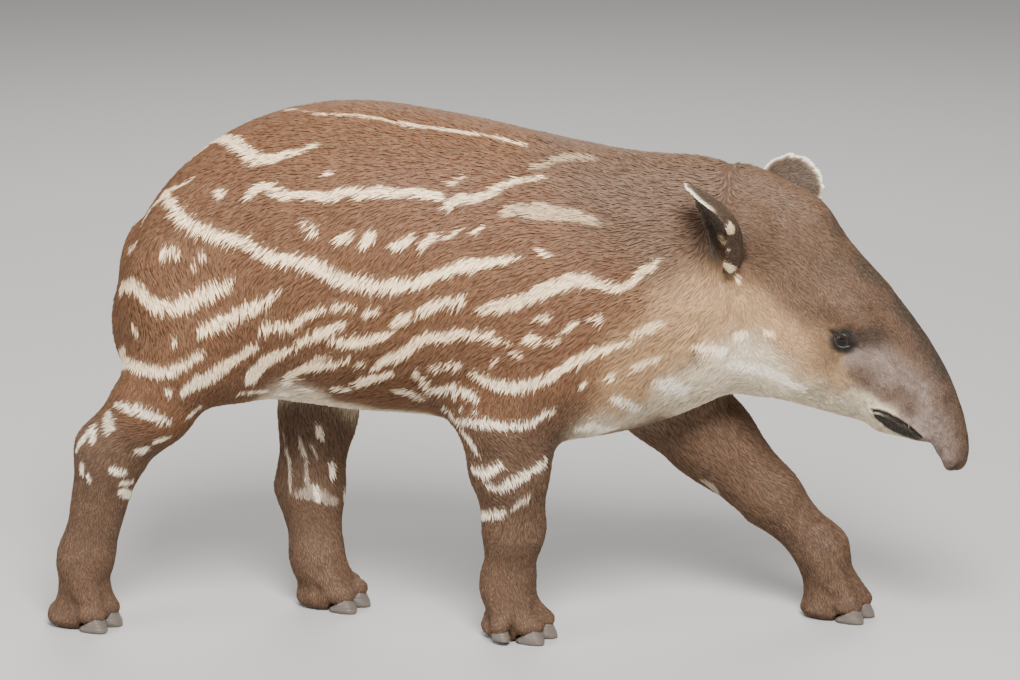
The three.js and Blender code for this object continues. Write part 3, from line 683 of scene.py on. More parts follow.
stripes = {
    "spine": (0.7, [
        (296, 109, 1.5), (326, 114, 2), (350, 115, 2.5), (368, 116, 2.5), (400, 124, 2),
        (426, 127, 2.5), (452, 131, 2.5), (490, 138, 2), (516, 143, 2), (534, 147, 1.5)
    ]),
    "croup": (0.85, [
        (196, 148, 3), (212, 140, 4.5), (226, 136, 6), (240, 138, 6.5), (250, 148, 6.5),
        (262, 156, 5.5), (278, 158, 5), (294, 152, 4), (306, 149, 3), (324, 144, 1.5)
    ]),
    "upper": (0.9, [
        (252, 194, 3), (260, 188, 4), (272, 185, 5), (278, 190, 4.5), (292, 194, 4),
        (310, 194, 4.5), (326, 196, 4.5), (342, 192, 5), (356, 187, 5), (366, 192, 4.5),
        (382, 189, 5), (400, 192, 5), (416, 190, 4.5), (430, 194, 4.5), (446, 197, 4.5)
    ]),
    "upperFront": (0.8, [
        (450, 204, 3), (464, 198, 5), (480, 198, 5), (494, 193, 4), (510, 185, 3.5),
        (528, 179, 2.5), (548, 176, 1.5)
    ]),
    "tick": (0.6, [(456, 183, 1.5), (468, 176, 2)]),
    "long": (1.0, [
        (170, 188, 4), (176, 196, 5), (181, 207, 5.5), (190, 217, 6), (204, 224, 6), (218, 230, 6),
        (232, 234, 5), (248, 238, 5.5), (260, 245, 6), (272, 252, 6), (288, 255, 5.5),
        (304, 257, 5.5), (318, 261, 6), (332, 269, 6), (345, 275, 6.5), (358, 276, 6),
        (370, 279, 6), (384, 282, 6), (400, 281, 6), (416, 280, 5.5), (430, 275, 5.5),
        (446, 269, 5), (464, 263, 5), (484, 261, 4.5), (504, 258, 4), (526, 254, 2)
    ]),
    "longFork": (0.8, [(172, 187, 3), (186, 182, 2), (200, 175, 1.5)]),
    "longTail": (0.75, [(168, 193, 4), (154, 202, 3.5), (144, 210, 3), (135, 221, 2)]),
    "rump": (0.9, [
        (118, 286, 4), (124, 280, 5.5), (132, 279, 6), (140, 287, 6), (148, 297, 6), (160, 303, 6),
        (176, 301, 6.5), (193, 294, 6.5), (211, 286, 6), (224, 279, 4), (234, 272, 2)
    ]),
    "rumpLow": (0.95, [
        (199, 327, 4), (211, 320, 6), (229, 311, 6), (249, 303, 5.5), (267, 296, 4.5),
        (281, 288, 2)
    ]),
    "flankDash": (0.95, [
        (258, 327, 3), (271, 321, 4.5), (284, 320, 4.5), (296, 319, 4.5), (309, 311, 3.5),
        (326, 304, 2.5)
    ]),
    "flankHigh": (0.95, [
        (301, 339, 3), (311, 332, 4), (327, 328, 5), (340, 322, 4), (351, 320, 2.5)
    ]),
    "flankLow": (1.0, [
        (334, 336, 3.5), (349, 338, 5), (362, 337, 5.5), (378, 334, 5), (394, 329, 3.5)
    ]),
    "thighBand": (0.85, [
        (112, 343, 4), (119, 349, 6), (130, 357, 6), (143, 365, 5.5), (158, 369, 4.5),
        (172, 367, 5), (187, 360, 4), (202, 350, 2.5)
    ]),
    "thighHigh": (0.85, [
        (184, 389, 4), (198, 380, 7), (216, 370, 7), (233, 358, 6), (247, 348, 5), (258, 341, 3)
    ]),
    "stifle": (1.0, [(251, 379, 5), (256, 369, 6.5), (267, 358, 6), (280, 350, 5), (296, 344, 3)]),
    "bellyHigh": (1.0, [
        (292, 383, 4), (298, 372, 5.5), (310, 364, 6.5), (326, 361, 5.5), (338, 359, 3.5),
        (350, 356, 2.5)
    ]),
    "bellyTick": (0.8, [(312, 358, 2.5), (328, 351, 2)]),
    "ribs": (0.95, [
        (378, 365, 3), (391, 356, 5), (407, 348, 5.5), (418, 339, 5), (431, 333, 5.5),
        (447, 333, 5.5), (464, 329, 5), (478, 328, 4), (493, 333, 4), (512, 338, 2)
    ]),
    "ribsLow": (1.0, [(362, 383, 5), (370, 377, 6), (380, 374, 4.5), (396, 371, 2.5)]),
    "shoulderLong": (0.8, [
        (484, 306, 3), (500, 303, 5), (518, 299, 5.5), (536, 293, 6), (553, 285, 6.5),
        (569, 280, 6.5), (585, 275, 6), (602, 281, 5), (616, 286, 4.5), (632, 284, 4),
        (648, 268, 3.5), (664, 261, 2.5)
    ]),
    "shoulderHigh": (0.4, [
        (512, 211, 5), (524, 208, 7), (540, 212, 8), (560, 213, 8), (580, 215, 7), (600, 222, 5)
    ]),
    "shoulderTop": (0.3, [(540, 168, 3), (560, 161, 5), (580, 158, 5), (600, 160, 3)]),
    "elbow": (0.9, [
        (473, 369, 2.5), (484, 376, 4.5), (496, 381, 5), (513, 384, 5.5), (531, 381, 5.5),
        (547, 376, 5), (562, 369, 4.5), (576, 359, 5), (591, 351, 5), (611, 345, 4), (636, 340, 2)
    ]),
    "elbowHook": (0.9, [
        (419, 369, 2.5), (427, 378, 3.5), (435, 388, 3.5), (446, 386, 5), (458, 386, 6),
        (470, 390, 5), (479, 397, 2.5)
    ]),
    "elbowUnder": (0.8, [(404, 389, 3.5), (416, 392, 4.5), (430, 398, 3)]),
    "armBand": (0.85, [
        (458, 419, 2.5), (470, 419, 4), (484, 420, 4.5), (500, 423, 4), (518, 422, 3.5),
        (534, 420, 3), (545, 412, 3.5), (555, 408, 2)
    ]),
    "armLine": (0.8, [(447, 406, 2), (457, 421, 2.5), (469, 437, 3), (476, 450, 2.5)]),
    "armWhite": (1.0, [(472, 466, 4), (482, 470, 5.5), (491, 467, 4), (499, 461, 2)]),
    "armSlant": (0.85, [
        (486, 484, 2.5), (500, 485, 4), (510, 480, 5), (520, 474, 5), (533, 467, 4.5),
        (544, 459, 3.5)
    ]),
    "wristWhite": (1.0, [(476, 506, 4), (484, 511, 5), (494, 511, 4.5), (502, 508, 2)]),
    "wristSlant": (0.55, [(511, 506, 2), (519, 501, 3.5), (528, 495, 3)]),
    "hockBand": (0.8, [
        (120, 403, 3), (130, 405, 5), (142, 408, 5.5), (155, 413, 5), (170, 419, 2.5)
    ]),
    "hockBlob": (0.65, [(111, 415, 7), (112, 424, 7.5)]),
    "hockEdge": (0.8, [(90, 430, 2.5), (84, 439, 3), (77, 449, 3)]),
    "neckDash": (0.75, [(636, 331, 3), (646, 328, 5), (658, 324, 5.5), (670, 320, 2.5)]),
    "throatDash": (0.9, [(638, 363, 3), (650, 359, 4.5), (663, 355, 3)]),
    "breastOne": (0.8, [(580, 427, 4), (594, 424, 6), (608, 427, 6), (622, 425, 4)]),
    "breastTwo": (0.8, [(617, 396, 4), (630, 400, 5), (642, 405, 5)]),
    "throatPatch": (0.9, [(698, 342, 4), (710, 344, 7), (724, 349, 6)]),
    "jawBand": (0.75, [(732, 362, 4), (748, 364, 6), (764, 370, 6), (782, 379, 6), (800, 389, 4)]),
    "throatFan": (0.7, [(660, 378, 5), (674, 380, 9), (690, 386, 8)]),
    "thinOne": (0.55, [(282, 427, 1), (287, 450, 1.3), (290, 471, 1.3), (291, 489, 1)]),
    "thinTwo": (0.55, [(298, 433, 1), (304, 456, 1.4), (307, 480, 1.2)]),
    "thinThree": (0.5, [(309, 440, 1), (316, 453, 1)]),
    "farKnee": (0.3, [(298, 492, 5), (310, 490, 8), (324, 494, 7), (335, 500, 4)]),
    "earEdge": (0.9, [(716, 230, 1.2), (722, 240, 1.6), (728, 251, 1.4)]),
    "earTuft": (0.95, [(724, 264, 3.5), (731, 269, 4.2), (735, 275, 2.5)]),
    "farElbow": (0.4, [(700, 478, 3), (710, 484, 5), (716, 492, 3)]),
}
spots = {
    "rump": [
        (140, 238, 134, 242, 2.5), (164, 246, 176, 247, 4.5), (200, 250, 203, 251, 3),
        (190, 260, 193, 261, 2.5), (224, 189, 228, 192, 4), (133, 322, 136, 326, 3.5),
        (172, 335, 175, 337, 3), (166, 387, 170, 388, 2.5)
    ],
    "back": [
        (309, 219, 318, 228, 3), (333, 174, 336, 172, 2.5), (343, 235, 352, 234, 3.5),
        (368, 239, 374, 232, 5), (399, 243, 414, 235, 4.2), (426, 242, 441, 234, 3.8),
        (454, 236, 465, 228, 2.4), (480, 230, 487, 226, 2.4)
    ],
    "flank": [
        (336, 301, 356, 303, 3), (369, 307, 381, 307, 3), (400, 319, 411, 314, 5),
        (423, 308, 444, 298, 3.8), (451, 298, 466, 296, 3.8), (362, 359, 366, 361, 2.5),
        (438, 364, 441, 366, 3.5), (452, 360, 460, 364, 4), (498, 357, 502, 357, 2.5),
        (519, 350, 526, 352, 2.5)
    ],
    "shoulder": [
        (546, 314, 551, 315, 3.2), (570, 327, 577, 322, 3), (598, 315, 605, 317, 3),
        (534, 335, 543, 337, 4.2), (556, 338, 563, 337, 2.5), (546, 251, 555, 253, 2.5),
        (584, 382, 588, 380, 3), (614, 373, 620, 375, 3)
    ],
    "belly": [
        (243, 391, 270, 389, 2.8), (283, 393, 297, 394, 4), (310, 389, 318, 390, 3.5),
        (342, 386, 352, 388, 6), (300, 380, 303, 379, 2)
    ],
    "legs": [
        (96, 425, 96, 437, 3.5), (160, 441, 170, 437, 3.2), (140, 449, 150, 447, 2.8),
        (114, 468, 124, 470, 4.5), (82, 464, 82, 471, 3.5), (88, 475, 89, 478, 2.8),
        (122, 482, 133, 480, 2.5), (131, 492, 131, 500, 4.5), (193, 411, 203, 404, 2.8),
        (318, 425, 320, 431, 4), (331, 462, 331, 472, 3.5), (344, 488, 344, 496, 3),
        (452, 408, 453, 409, 1.6), (462, 407, 463, 408, 1.6), (476, 408, 478, 409, 1.6)
    ],
    "head": [(731, 228, 733, 230, 6), (738, 332, 745, 330, 4), (762, 329, 770, 331, 2.5)],
}


markEdges = {
    "spotStrength": 0.9,
    "farShift": 0.006,  # metres by which the far side's marks stray from the near side's
    "coarse": (0.006, 0.0012),  # size and depth of the raggedness, in metres
    "fine": (0.0025, 0.0008),
    "soft": 0.0012,
}


def wayOn(marks):
    # points on the skin with half widths in metres
    return np.array([(*onTree(skinTree, px, py)[0], half * pixel) for px, py, half in marks])


def farWay(way, shift=0):
    places = [settled(mirrored(point[:3] + shift)) for point in way]
    return np.column_stack([places, way[:, 3]])


def markRoutes():
    near = [(wayOn(marks), strength, name) for name, (strength, marks) in stripes.items()]
    for group, marks in spots.items():
        for fromX, fromY, toX, toY, half in marks:
            way = wayOn([(fromX, fromY, half), (toX, toY, half)])
            near.append((way, markEdges["spotStrength"], group))
    both = [mark for mark in near if not mark[2].startswith(("thin", "far"))]
    far = [(farWay(way, chance.normal(0, markEdges["farShift"], 3)), strength, name)
           for way, strength, name in both]
    return near + far


def stripeField(places, routes):
    # 0 to 1 where the hair is cream, with ragged edges
    (coarse, deep), (fine, shallow) = markEdges["coarse"], markEdges["fine"]
    ragged = noise(places, coarse) * deep + noise(places, fine) * shallow
    soft = markEdges["soft"]
    field = np.zeros(len(places))
    for way, strength, _ in routes:
        margin = way[:, 3].max() + 0.004
        low, high = way[:, :3].min(0) - margin, way[:, :3].max(0) + margin
        near = np.flatnonzero(np.all((places > low) & (places < high), axis=1))
        if not len(near):
            continue
        best = np.full(len(near), -1.0)
        for first, last in zip(way[:-1], way[1:]):
            gap, share = gapAndShare(places[near], first[:3], last[:3])
            best = np.maximum(best, first[3] + share * (last[3] - first[3]) - gap)
        mark = strength * ease(-soft, soft, best + ragged[near])
        field[near] = np.maximum(field[near], mark)
    return field


def toneCentres():
    centres, reach, tone = [], [], []
    for name, (toneName, mm, pixels) in tonePatches.items():
        for px, py in pixels:
            place = onTree(skinTree, px, py)[0]
            if name == "noseTop":  # along the head's middle
                both = [settled(fromHead(toHead(place) * (1, 0, 1)))]
            else:
                both = [place] if name.startswith("far") else [place, mirrored(place)]
            centres += both
            reach += [mm / 1000] * len(both)
            tone += [toneNames.index(toneName)] * len(both)
    return np.array(centres), np.array(reach), np.array(tone)


toneBlend = {
    "shift": 0.008,  # metres by which the borders between tones wander
    "size": 0.03,
    "fall": 1.2,
}


def toneField(places, centres):
    middle, reach, tone = centres
    weights = np.full((len(places), len(toneNames)), 1e-5)
    weights[:, 0] = 1e-3
    wander = np.stack([noise(places + apart, toneBlend["size"]) for apart in (0, 5, 9)], 1)
    moved = places + toneBlend["shift"] * wander
    for index in range(len(middle)):
        gap = np.linalg.norm(moved - middle[index], axis=1) / reach[index]
        weights[:, tone[index]] += np.exp(-gap * gap * toneBlend["fall"])
    return weights / weights.sum(1, keepdims=True)


routes = markRoutes()
centres = toneCentres()
print("marks laid on the hide")


def paint(mesh, name, columns):
    attribute = mesh.attributes.new(name, "FLOAT_COLOR", "POINT")
    rows = np.column_stack([*columns, np.ones(len(columns[0]))]).astype(np.float32)
    attribute.data.foreach_set("color", rows.ravel())


# Bare dark skin: lower lip, mouth, nostrils and lids

darkRoutes = {
    "lip": [(877, 416, 4), (887, 421, 6.5), (897, 427, 8), (908, 432, 7.5), (917, 437, 4.5)],
    "mouth": [(872, 410, 2), (886, 414, 3), (898, 421, 3.5), (910, 429, 3), (921, 436, 2.5)],
    "nostril": [(937, 457, 2.5), (943, 463, 3.5)],
}
eyeRing = {"black": 0.95, "full": 0.0135, "end": 0.0205}  # metres from the eye's middle
earMarks = {
    # where the white of the rim starts, as shares of the ear's height
    "white": {"ear_right": (0.78, 0.86), "ear_left": (0.40, 0.52)},
    "sharp": (0.92, 0.75),  # how far the skin turns at a rim
    "slices": 8,
    "back": {"dark": 0.65, "greyBrown": 0.35},
    # painted shade: the inside of the ear's cup darkened, as shade falls in its hollow
    "cupShade": {"dark": 0.7, "mauve": 0.3},
}


def darkWays():
    right = [(wayOn(marks), 1.0, name) for name, marks in darkRoutes.items()]
    return right + [(farWay(way), strength, name) for way, strength, name in right]


darkFound = darkWays()


def blackness(places):
    black = stripeField(places, darkFound)
    for eye in eyesFound:
        gap = np.linalg.norm(places - eye["centre"], axis=1) + noise(places, 0.004) * 0.0007
        ring = ease(eyeRing["end"], eyeRing["full"], gap)
        black = np.maximum(black, eyeRing["black"] * ring)
    return black


def earFields(mesh):
    # white of the rims and painted shade inside the cups, at each point of the skin
    places = placesOf(mesh)
    normals = normalsOf(mesh).astype(float)
    edges = edgesOf(mesh)
    even = np.linalg.norm(spread(normals, edges, 1, 5), axis=1)
    rim, cupShade, ear = np.zeros((3, len(places)))
    for name, (start, end) in earMarks["white"].items():
        own = np.flatnonzero(np.array([owner == name for owner in skinOwners]))
        height = places[own, 2]
        share = (height - height.min()) / np.ptp(height)
        ear[own] = 1
        white = ease(start, end, share + noise(places[own], 0.006) * 0.03)
        rim[own] = ease(*earMarks["sharp"], even[own]) * white
        slices = np.array_split(np.argsort(height), earMarks["slices"])
        levels = [height[part].mean() for part in slices]
        line = np.column_stack([
            np.interp(height, levels, [places[own[part], axis].mean() for part in slices])
            for axis in range(3)
        ])
        # the faces inside the cup, which take the painted shade
        cupShade[own] = ease(0.0, 0.35, (normals[own] * unit(line - places[own])).sum(1))
    rim = np.clip(spread(rim, edges, 1, 4) * 2.6, 0, 1)
    return np.column_stack([rim, spread(np.column_stack([cupShade, ear]), edges, 1, 1)])


def coatTones(places, earShares):
    tones = toneField(places, centres)
    # the ear's back tone, then the painted shade inside its cup
    for part, share in (("back", earShares[:, 2:]), ("cupShade", earShares[:, 1:2])):
        own = np.array([earMarks[part].get(name, 0) for name in toneNames])
        tones = tones * (1 - share) + own * share
    marks = stripeField(places, routes)
    whiter = np.clip(tones[:, 3] + 0.6 * ease(0.33, 0.24, places[:, 2]), 0, 1)
    marks = np.maximum(marks * (1 - earShares[:, 1]), earShares[:, 0])
    whiter = np.maximum(whiter, earShares[:, 0])
    local = toHead(places)
    onFace = ease(0.07, 0.13, local[:, 0]) * ease(0.06, 0.16, local[:, 0] - local[:, 2] * 0.9)
    blotches = noise(places, 0.0045) * 0.7 + noise(places + 2, 0.0018) * 0.5
    return tones, marks, whiter, blackness(places), ease(-0.1, 0.45, blotches) * onFace


def paintTones(mesh, tones, marks, whiter, black, mottle):
    paint(mesh, "tonesOne", [tones[:, 1], tones[:, 2], tones[:, 3]])
    paint(mesh, "tonesTwo", [tones[:, 4], tones[:, 5], black])
    paint(mesh, "marks", [marks, whiter, mottle])


skinEars = earFields(skin.data)
paintTones(skin.data, *coatTones(placesOf(skin.data), skinEars))
print("tones painted on the hide")

coatColours = {
    "redBrown": (0.128, 0.054, 0.023),
    "greyBrown": (0.104, 0.055, 0.031),
    "buff": (0.41, 0.245, 0.125),
    "pale": (0.72, 0.60, 0.43),
    "dark": (0.036, 0.026, 0.018),
    # mauve: the skin's own tone, made lighter to carry painted sheen on the snout's sides
    "mauve": (0.29, 0.215, 0.180),
    "cream": (0.93, 0.70, 0.43),
    "white": (0.95, 0.87, 0.73),
    "black": (0.012, 0.010, 0.009),
    "tip": (0.60, 0.44, 0.30),
}
coatShade = {
    "hide": 0.72,  # the skin's tone as a share of the hair's
    "mottle": 0.34,
    "tuft": (0.60, 0.70),  # the darkest tuft, and how much lighter others may be
    "root": (0.76, 0.44),  # the same along a tuft, from root to tip: painted shade, darker at the roots where the tufts shade one another
    "stripe": (0.35, 0.3),  # how much lighter cream hair is, and how much less on light tufts
    "tip": 0.16,
}


def markedColour(finish):
    grey, buff, pale = finish.channels("tonesOne")
    dark, mauve, black = finish.channels("tonesTwo")
    stripe, whiter, mottle = finish.channels("marks")
    red = 1 - grey - buff - pale - dark - mauve
    total = finish.scaled(coatColours["redBrown"], red)
    for share, name in zip((grey, buff, pale, dark, mauve), toneNames[1:]):
        total = finish.summed(total, finish.scaled(coatColours[name], share))
    light = finish.mix(whiter, coatColours["cream"], coatColours["white"])
    total = finish.mix(stripe, total, light)
    total = finish.scaled(total, 1 - coatShade["mottle"] * mottle)
    return finish.mix(black, total, coatColours["black"])


def makeHideFinish():
    finish = Finish("hide")
    black = finish.channels("tonesTwo")[2]
    colour = finish.scaled(markedColour(finish), coatShade["hide"])
    fine = finish.speckle(700, 3)
    return finish.set(Base_Color=colour, Roughness=0.8 - 0.45 * black, IOR=1.36,
                      Normal=finish.bump(fine, 0.0004))


def makeCoatFinish():
    finish = Finish("coat")
    first, along, second = finish.channels("strand")
    stripe = finish.channels("marks")[0]
    (dark, lighter), (root, towardsTip) = coatShade["tuft"], coatShade["root"]
    # painted shade: each tuft darker towards its root, as the hair shades itself
    shade = (dark + lighter * first) * (root + towardsTip * along)
    shade = shade + stripe * (coatShade["stripe"][0] - coatShade["stripe"][1] * first)
    colour = finish.scaled(markedColour(finish), shade)
    colour = finish.mix(along * second * coatShade["tip"], colour, coatColours["tip"])
    return finish.set(Base_Color=colour, Roughness=0.6, IOR=1.3)


skin.data.materials.append(makeHideFinish())


# The lie of the hair: pixel across and down, and where the tips point on screen there, in
# degrees down from the tail's direction

lie = {
    "back": [(300, 116, 3), (400, 112, 3), (520, 132, 3), (620, 150, 3), (210, 150, 6)],
    "side": [
        (300, 180, 10), (420, 180, 12), (520, 190, 10), (250, 235, 35), (340, 270, 55),
        (390, 270, 55), (440, 270, 45), (500, 260, 28), (560, 215, 7), (620, 200, 5),
        (650, 240, 12), (600, 280, 20), (560, 330, 38), (500, 330, 45), (430, 330, 50),
        (350, 340, 58), (280, 340, 80), (300, 388, 40), (400, 402, 30), (470, 400, 60)
    ],
    "rump": [
        (135, 245, 60), (165, 205, 30), (140, 285, 125), (175, 300, 125), (205, 275, 115),
        (118, 330, 110), (150, 370, 100), (200, 340, 100), (230, 372, 85)
    ],
    "shank": [(130, 430, 14), (160, 440, 16), (115, 470, 60), (95, 500, 80)],
    "arm": [(500, 440, 145), (540, 460, 150), (490, 490, 115), (520, 400, 80), (560, 420, 60)],
    "neck": [
        (680, 310, 32), (705, 345, 48), (650, 325, 26), (690, 180, 4), (730, 222, 8),
        (700, 385, 35), (740, 388, 15), (705, 300, 45), (640, 390, 50)
    ],
    "crown": [(765, 190, 160), (790, 225, 145), (760, 250, 160), (745, 290, 120)],
    "face": [
        (830, 250, 130), (870, 290, 128), (780, 300, 125), (820, 320, 125), (860, 370, 130),
        (800, 360, 150), (780, 385, 165), (830, 400, 150), (905, 330, 125), (930, 380, 112),
        (955, 430, 98), (930, 430, 115)
    ],
}

# Tufts in each region: how crowded, then length, width and how far the tips stand off in metres
coat = {
    "total": 225000,
    "torso": {"crowd": 15, "length": 0.0130, "width": 0.0017, "rise": 0.0021},
    "neck": {"crowd": 18, "length": 0.0120, "width": 0.0015, "rise": 0.0022},
    "limb": {"crowd": 23, "length": 0.0090, "width": 0.0013, "rise": 0.0014},
    "foot": {"crowd": 34, "length": 0.0055, "width": 0.0010, "rise": 0.0008},
    "head": {"crowd": 40, "length": 0.0062, "width": 0.0009, "rise": 0.0009},
    "ear": {"crowd": 40, "length": 0.0055, "width": 0.0009, "rise": 0.0006},
    "tail": {"crowd": 28, "length": 0.0090, "width": 0.0012, "rise": 0.0012},
    "eye": {"crowd": 0, "length": 0.0040, "width": 0.0008, "rise": 0.0003},
}
limbParts = {"front": ("upper_arm", "forearm", "foot"), "hind": ("thigh", "shank", "foot")}
limbChains = {
    end + "_" + side: [part + "_" + end + "_" + side for part in parts]
    for end, parts in limbParts.items() for side in ("right", "left")
}


def headAxisNear(place):
    # the point of the head's own axis nearest to an ear
    local = toHead(place) * (1, 0.3, 0)
    return fromHead(local - (0.01, 0, 0.05))


def lieAnchors():
    places, ways = [], []
    for marks in lie.values():
        for px, py, angle in marks:
            place, normal = onTree(skinTree, px, py)
            turn = math.radians(angle)
            way = -lookRight * math.cos(turn) - lookUp * math.sin(turn)
            way = unit(way - normal * (way @ normal))
            places += [place, mirrored(place)]
            ways += [way, unit(mirrored(place + way * 0.01) - mirrored(place))]
    for chain in limbChains.values():
        middles = [middleOf(node) for node in chain]
        middles.append(middles[-1] * (1, 1, 0) + (0.02, 0, 0))
        for first, last in zip(middles[1:-1], middles[2:]):
            for share in (0.0, 0.35, 0.7):
                place = first + (last - first) * share
                for beside in ((0.03, 0, 0), (-0.03, 0, 0), (0, 0.03, 0), (0, -0.03, 0)):
                    places.append(place + beside)
                    ways.append(unit(last - first))
    places.append(middleOf("tail"))
    ways.append(np.array([-0.3, 0, -0.95]))
    for eye in eyesFound:
        for turn in np.arange(0, 2 * math.pi, math.pi / 4):
            way = eye["slit"] * math.cos(turn) + eye["up"] * math.sin(turn)
            places.append(eye["centre"] + eye["out"] * 0.011 + way * 0.009)
            ways.append(way * 0.4)
    for name in ("ear_right", "ear_left"):
        middle = middleOf(name)
        places.append(middle)
        ways.append(unit(middle - headAxisNear(middle)))
    return np.array(places), np.array(ways)


lieReach = 0.012  # metres within which one mark of the lie rules


def lieAt(places, normals, anchors):
    middle, way = anchors
    total = np.zeros_like(places)
    for index in range(len(middle)):
        gap = ((places - middle[index]) ** 2).sum(1)
        total += (1 / (gap + lieReach**2) ** 2)[:, None] * way[index]
    total -= normals * (total * normals).sum(1, keepdims=True)
    return unit(total)


def turned(ways, normals, angles):
    beside = np.cross(normals, ways)
    return ways * np.cos(angles)[:, None] + beside * np.sin(angles)[:, None]


def coatPiece(node, place):
    # the name of the piece that a tuft belongs to
    region = regionOf(node)
    side = "right" if place[1] < 0 else "left"
    if region == "torso":
        third = "rear" if place[0] < -0.18 else "middle" if place[0] < 0.03 else "fore"
        return "torso_" + third + "_" + side
    if region in ("neck", "head"):
        local = toHead(place)
        across = local[1] if local[0] > headFrame["back"] else place[1]
        return region + "_" + ("right" if across < 0 else "left")
    if region in ("limb", "foot"):
        return "leg_" + "_".join(node.split("_")[-2:])
    return node


def bareness(places):
    # 1 where no hair grows: the eyes, the nostrils and the lips' edges
    bare = np.zeros(len(places))
    for eye in eyesFound:
        near = np.flatnonzero(np.linalg.norm(places - eye["centre"], axis=1) < 0.03)
        edge = eyeArcs(places[near], eye)[2]
        bare[near] = np.maximum(bare[near], ease(0.0016, 0.0006, edge))
    for way in creaseWays["mouth"]:
        bare = np.maximum(bare, ease(0.0018, 0.0010, gapTo(places, way)))
    return bare


def tuftRoots(mesh):
    # drawn over the skin's triangles by their area and how crowded the hair is there
    mesh.calc_loop_triangles()
    corners = read(mesh.loop_triangles, "vertices", 3, np.int32)
    places = placesOf(mesh)
    normals = normalsOf(mesh).astype(float)
    first, second, third = (places[corners[:, column]] for column in range(3))
    area = np.linalg.norm(np.cross(second - first, third - first), axis=1) / 2
    regions = [regionOf(skinOwners[vertex]) for vertex in corners[:, 0]]
    crowd = np.array([coat[region]["crowd"] for region in regions])
    middles = (first + second + third) / 3
    headLength = toHead(middles)[:, 0]
    snout = np.array([region == "head" for region in regions]) * ease(0.14, 0.25, headLength)
    crowd = crowd * (1 + 0.9 * snout) * (1 - bareness(middles)) * ease(0.0, 0.012, middles[:, 2])
    ends = np.cumsum(crowd * area)
    marks = (np.arange(coat["total"]) + chance.random(coat["total"])) * ends[-1] / coat["total"]
    chosen = np.minimum(np.searchsorted(ends, marks), len(ends) - 1)
    share = chance.random((coat["total"], 2))
    share = np.where(share.sum(1, keepdims=True) > 1, 1 - share, share)
    weights = np.column_stack([1 - share.sum(1), share])[:, :, None]
    roots = (places[corners[chosen]] * weights).sum(1)
    up = unit((normals[corners[chosen]] * weights).sum(1))
    owners = [skinOwners[vertex] for vertex in corners[chosen, 0]]
    ears = (skinEars[corners[chosen]] * weights).sum(1)
    return roots, up, owners, ears


coatChange = {
    "head": (1.45, 0.85, -0.02, 0.22),  # longer, by how much less, from and to along the head
    "eye": (0.42, 0.58, 0.016, 0.034),  # shorter, by how much more, from and to round the eye
    "crest": (0.35, 0.5),  # how much longer and higher along the neck's crest
    "uneven": 0.16,
}


def tuftSizes(roots, up, owners):
    table = np.array([[coat[regionOf(owner)][key] for key in ("length", "width", "rise")]
                      for owner in owners])
    onHead = np.array([owner == "head" for owner in owners])
    local = toHead(roots)
    most, less, *reach = coatChange["head"]
    finer = np.where(onHead, most - less * ease(*reach, local[:, 0]), 1)
    toEyes = [np.linalg.norm(roots - eye["centre"], axis=1) for eye in eyesFound]
    least, more, *reach = coatChange["eye"]
    finer = finer * (least + more * ease(*reach, np.min(toEyes, axis=0)))
    # longer along the crest of the neck
    crest = ease(0.6, 0.95, up[:, 2]) * ease(0.035, 0.012, np.abs(local[:, 1]))
    crest = crest * ease(-0.16, -0.06, local[:, 0]) * ease(0.09, 0.03, local[:, 0])
    uneven = chance.normal(0, coatChange["uneven"], table.shape)
    sizes = table * finer[:, None] * np.exp(uneven)
    sizes[:, 0] *= 1 + coatChange["crest"][0] * crest
    sizes[:, 2] *= 1 + coatChange["crest"][1] * crest
    sizes[:, 1] *= np.where(onHead, np.sqrt(1 / np.maximum(finer, 0.3)), 1)
    return sizes


bodyAxis = 0.385  # metres above the floor
headAxis = -0.09  # metres over the head frame's own place
bakeMargin = 0.006  # round the unwrap, as a share of its side


def chainUnwrap(places, chain):
    # angle round the leg and height along it
    middles = np.array([middleOf(node) for node in chain])[::-1]
    across = np.interp(places[:, 2], middles[:, 2], middles[:, 0])
    beside = np.interp(places[:, 2], middles[:, 2], middles[:, 1])
    return np.column_stack([np.arctan2(places[:, 1] - beside, places[:, 0] - across), places[:, 2]])


def leafUnwrap(places, normals):
    # the two faces of an ear, side by side
    middle = places.mean(0)
    axes = np.linalg.svd(places - middle, full_matrices=False)[2]
    flat = (places - middle) @ axes.T
    flat = (flat - flat.min(0)) / np.ptp(flat, axis=0)
    inside = (normals @ axes[2]) > 0
    return np.column_stack([flat[:, 1] * 0.47 + inside * 0.52, flat[:, 0]])


def unwrapped(name, places, normals):
    # the skin under a piece laid out flat, by its own shape
    if name.startswith("leg"):
        flat = chainUnwrap(places, limbChains[name[4:]])
    elif name.startswith("ear"):
        flat = leafUnwrap(places, normals)
    elif name.startswith("head"):
        local = toHead(places)
        girth = np.arctan2(local[:, 1], local[:, 2] - headAxis)
        flat = np.column_stack([local[:, 0], girth])
    elif name == "tail":
        local = places - middleOf("tail")
        flat = np.column_stack([places[:, 2], np.arctan2(local[:, 1], local[:, 0])])
    else:
        girth = np.arctan2(places[:, 1], places[:, 2] - bodyAxis)
        flat = np.column_stack([places[:, 0], girth])
    if name.endswith("left") and not name.startswith(("leg", "ear")):
        flat[:, 1] = flat[:, 1] % (2 * math.pi)
    flat = (flat - flat.min(0)) / np.maximum(np.ptp(flat, axis=0), 1e-9)
    return bakeMargin + flat * (1 - 2 * bakeMargin)


tuftShape = {
    "sunk": 0.0003,  # metres of root under the skin
    "waist": (0.58, 0.42),  # the widest place, in shares of root and tip
    "waistRise": 0.2,  # shares of the tip's rise
    "ridgeRise": 0.25,
    "ridge": 0.3,  # share of the width
    "lean": 0.55,  # how far the normals turn out at the sides
    "tipLean": 0.35,
    "patch": 0.003,  # side of a tuft's patch on the OFBake map
}


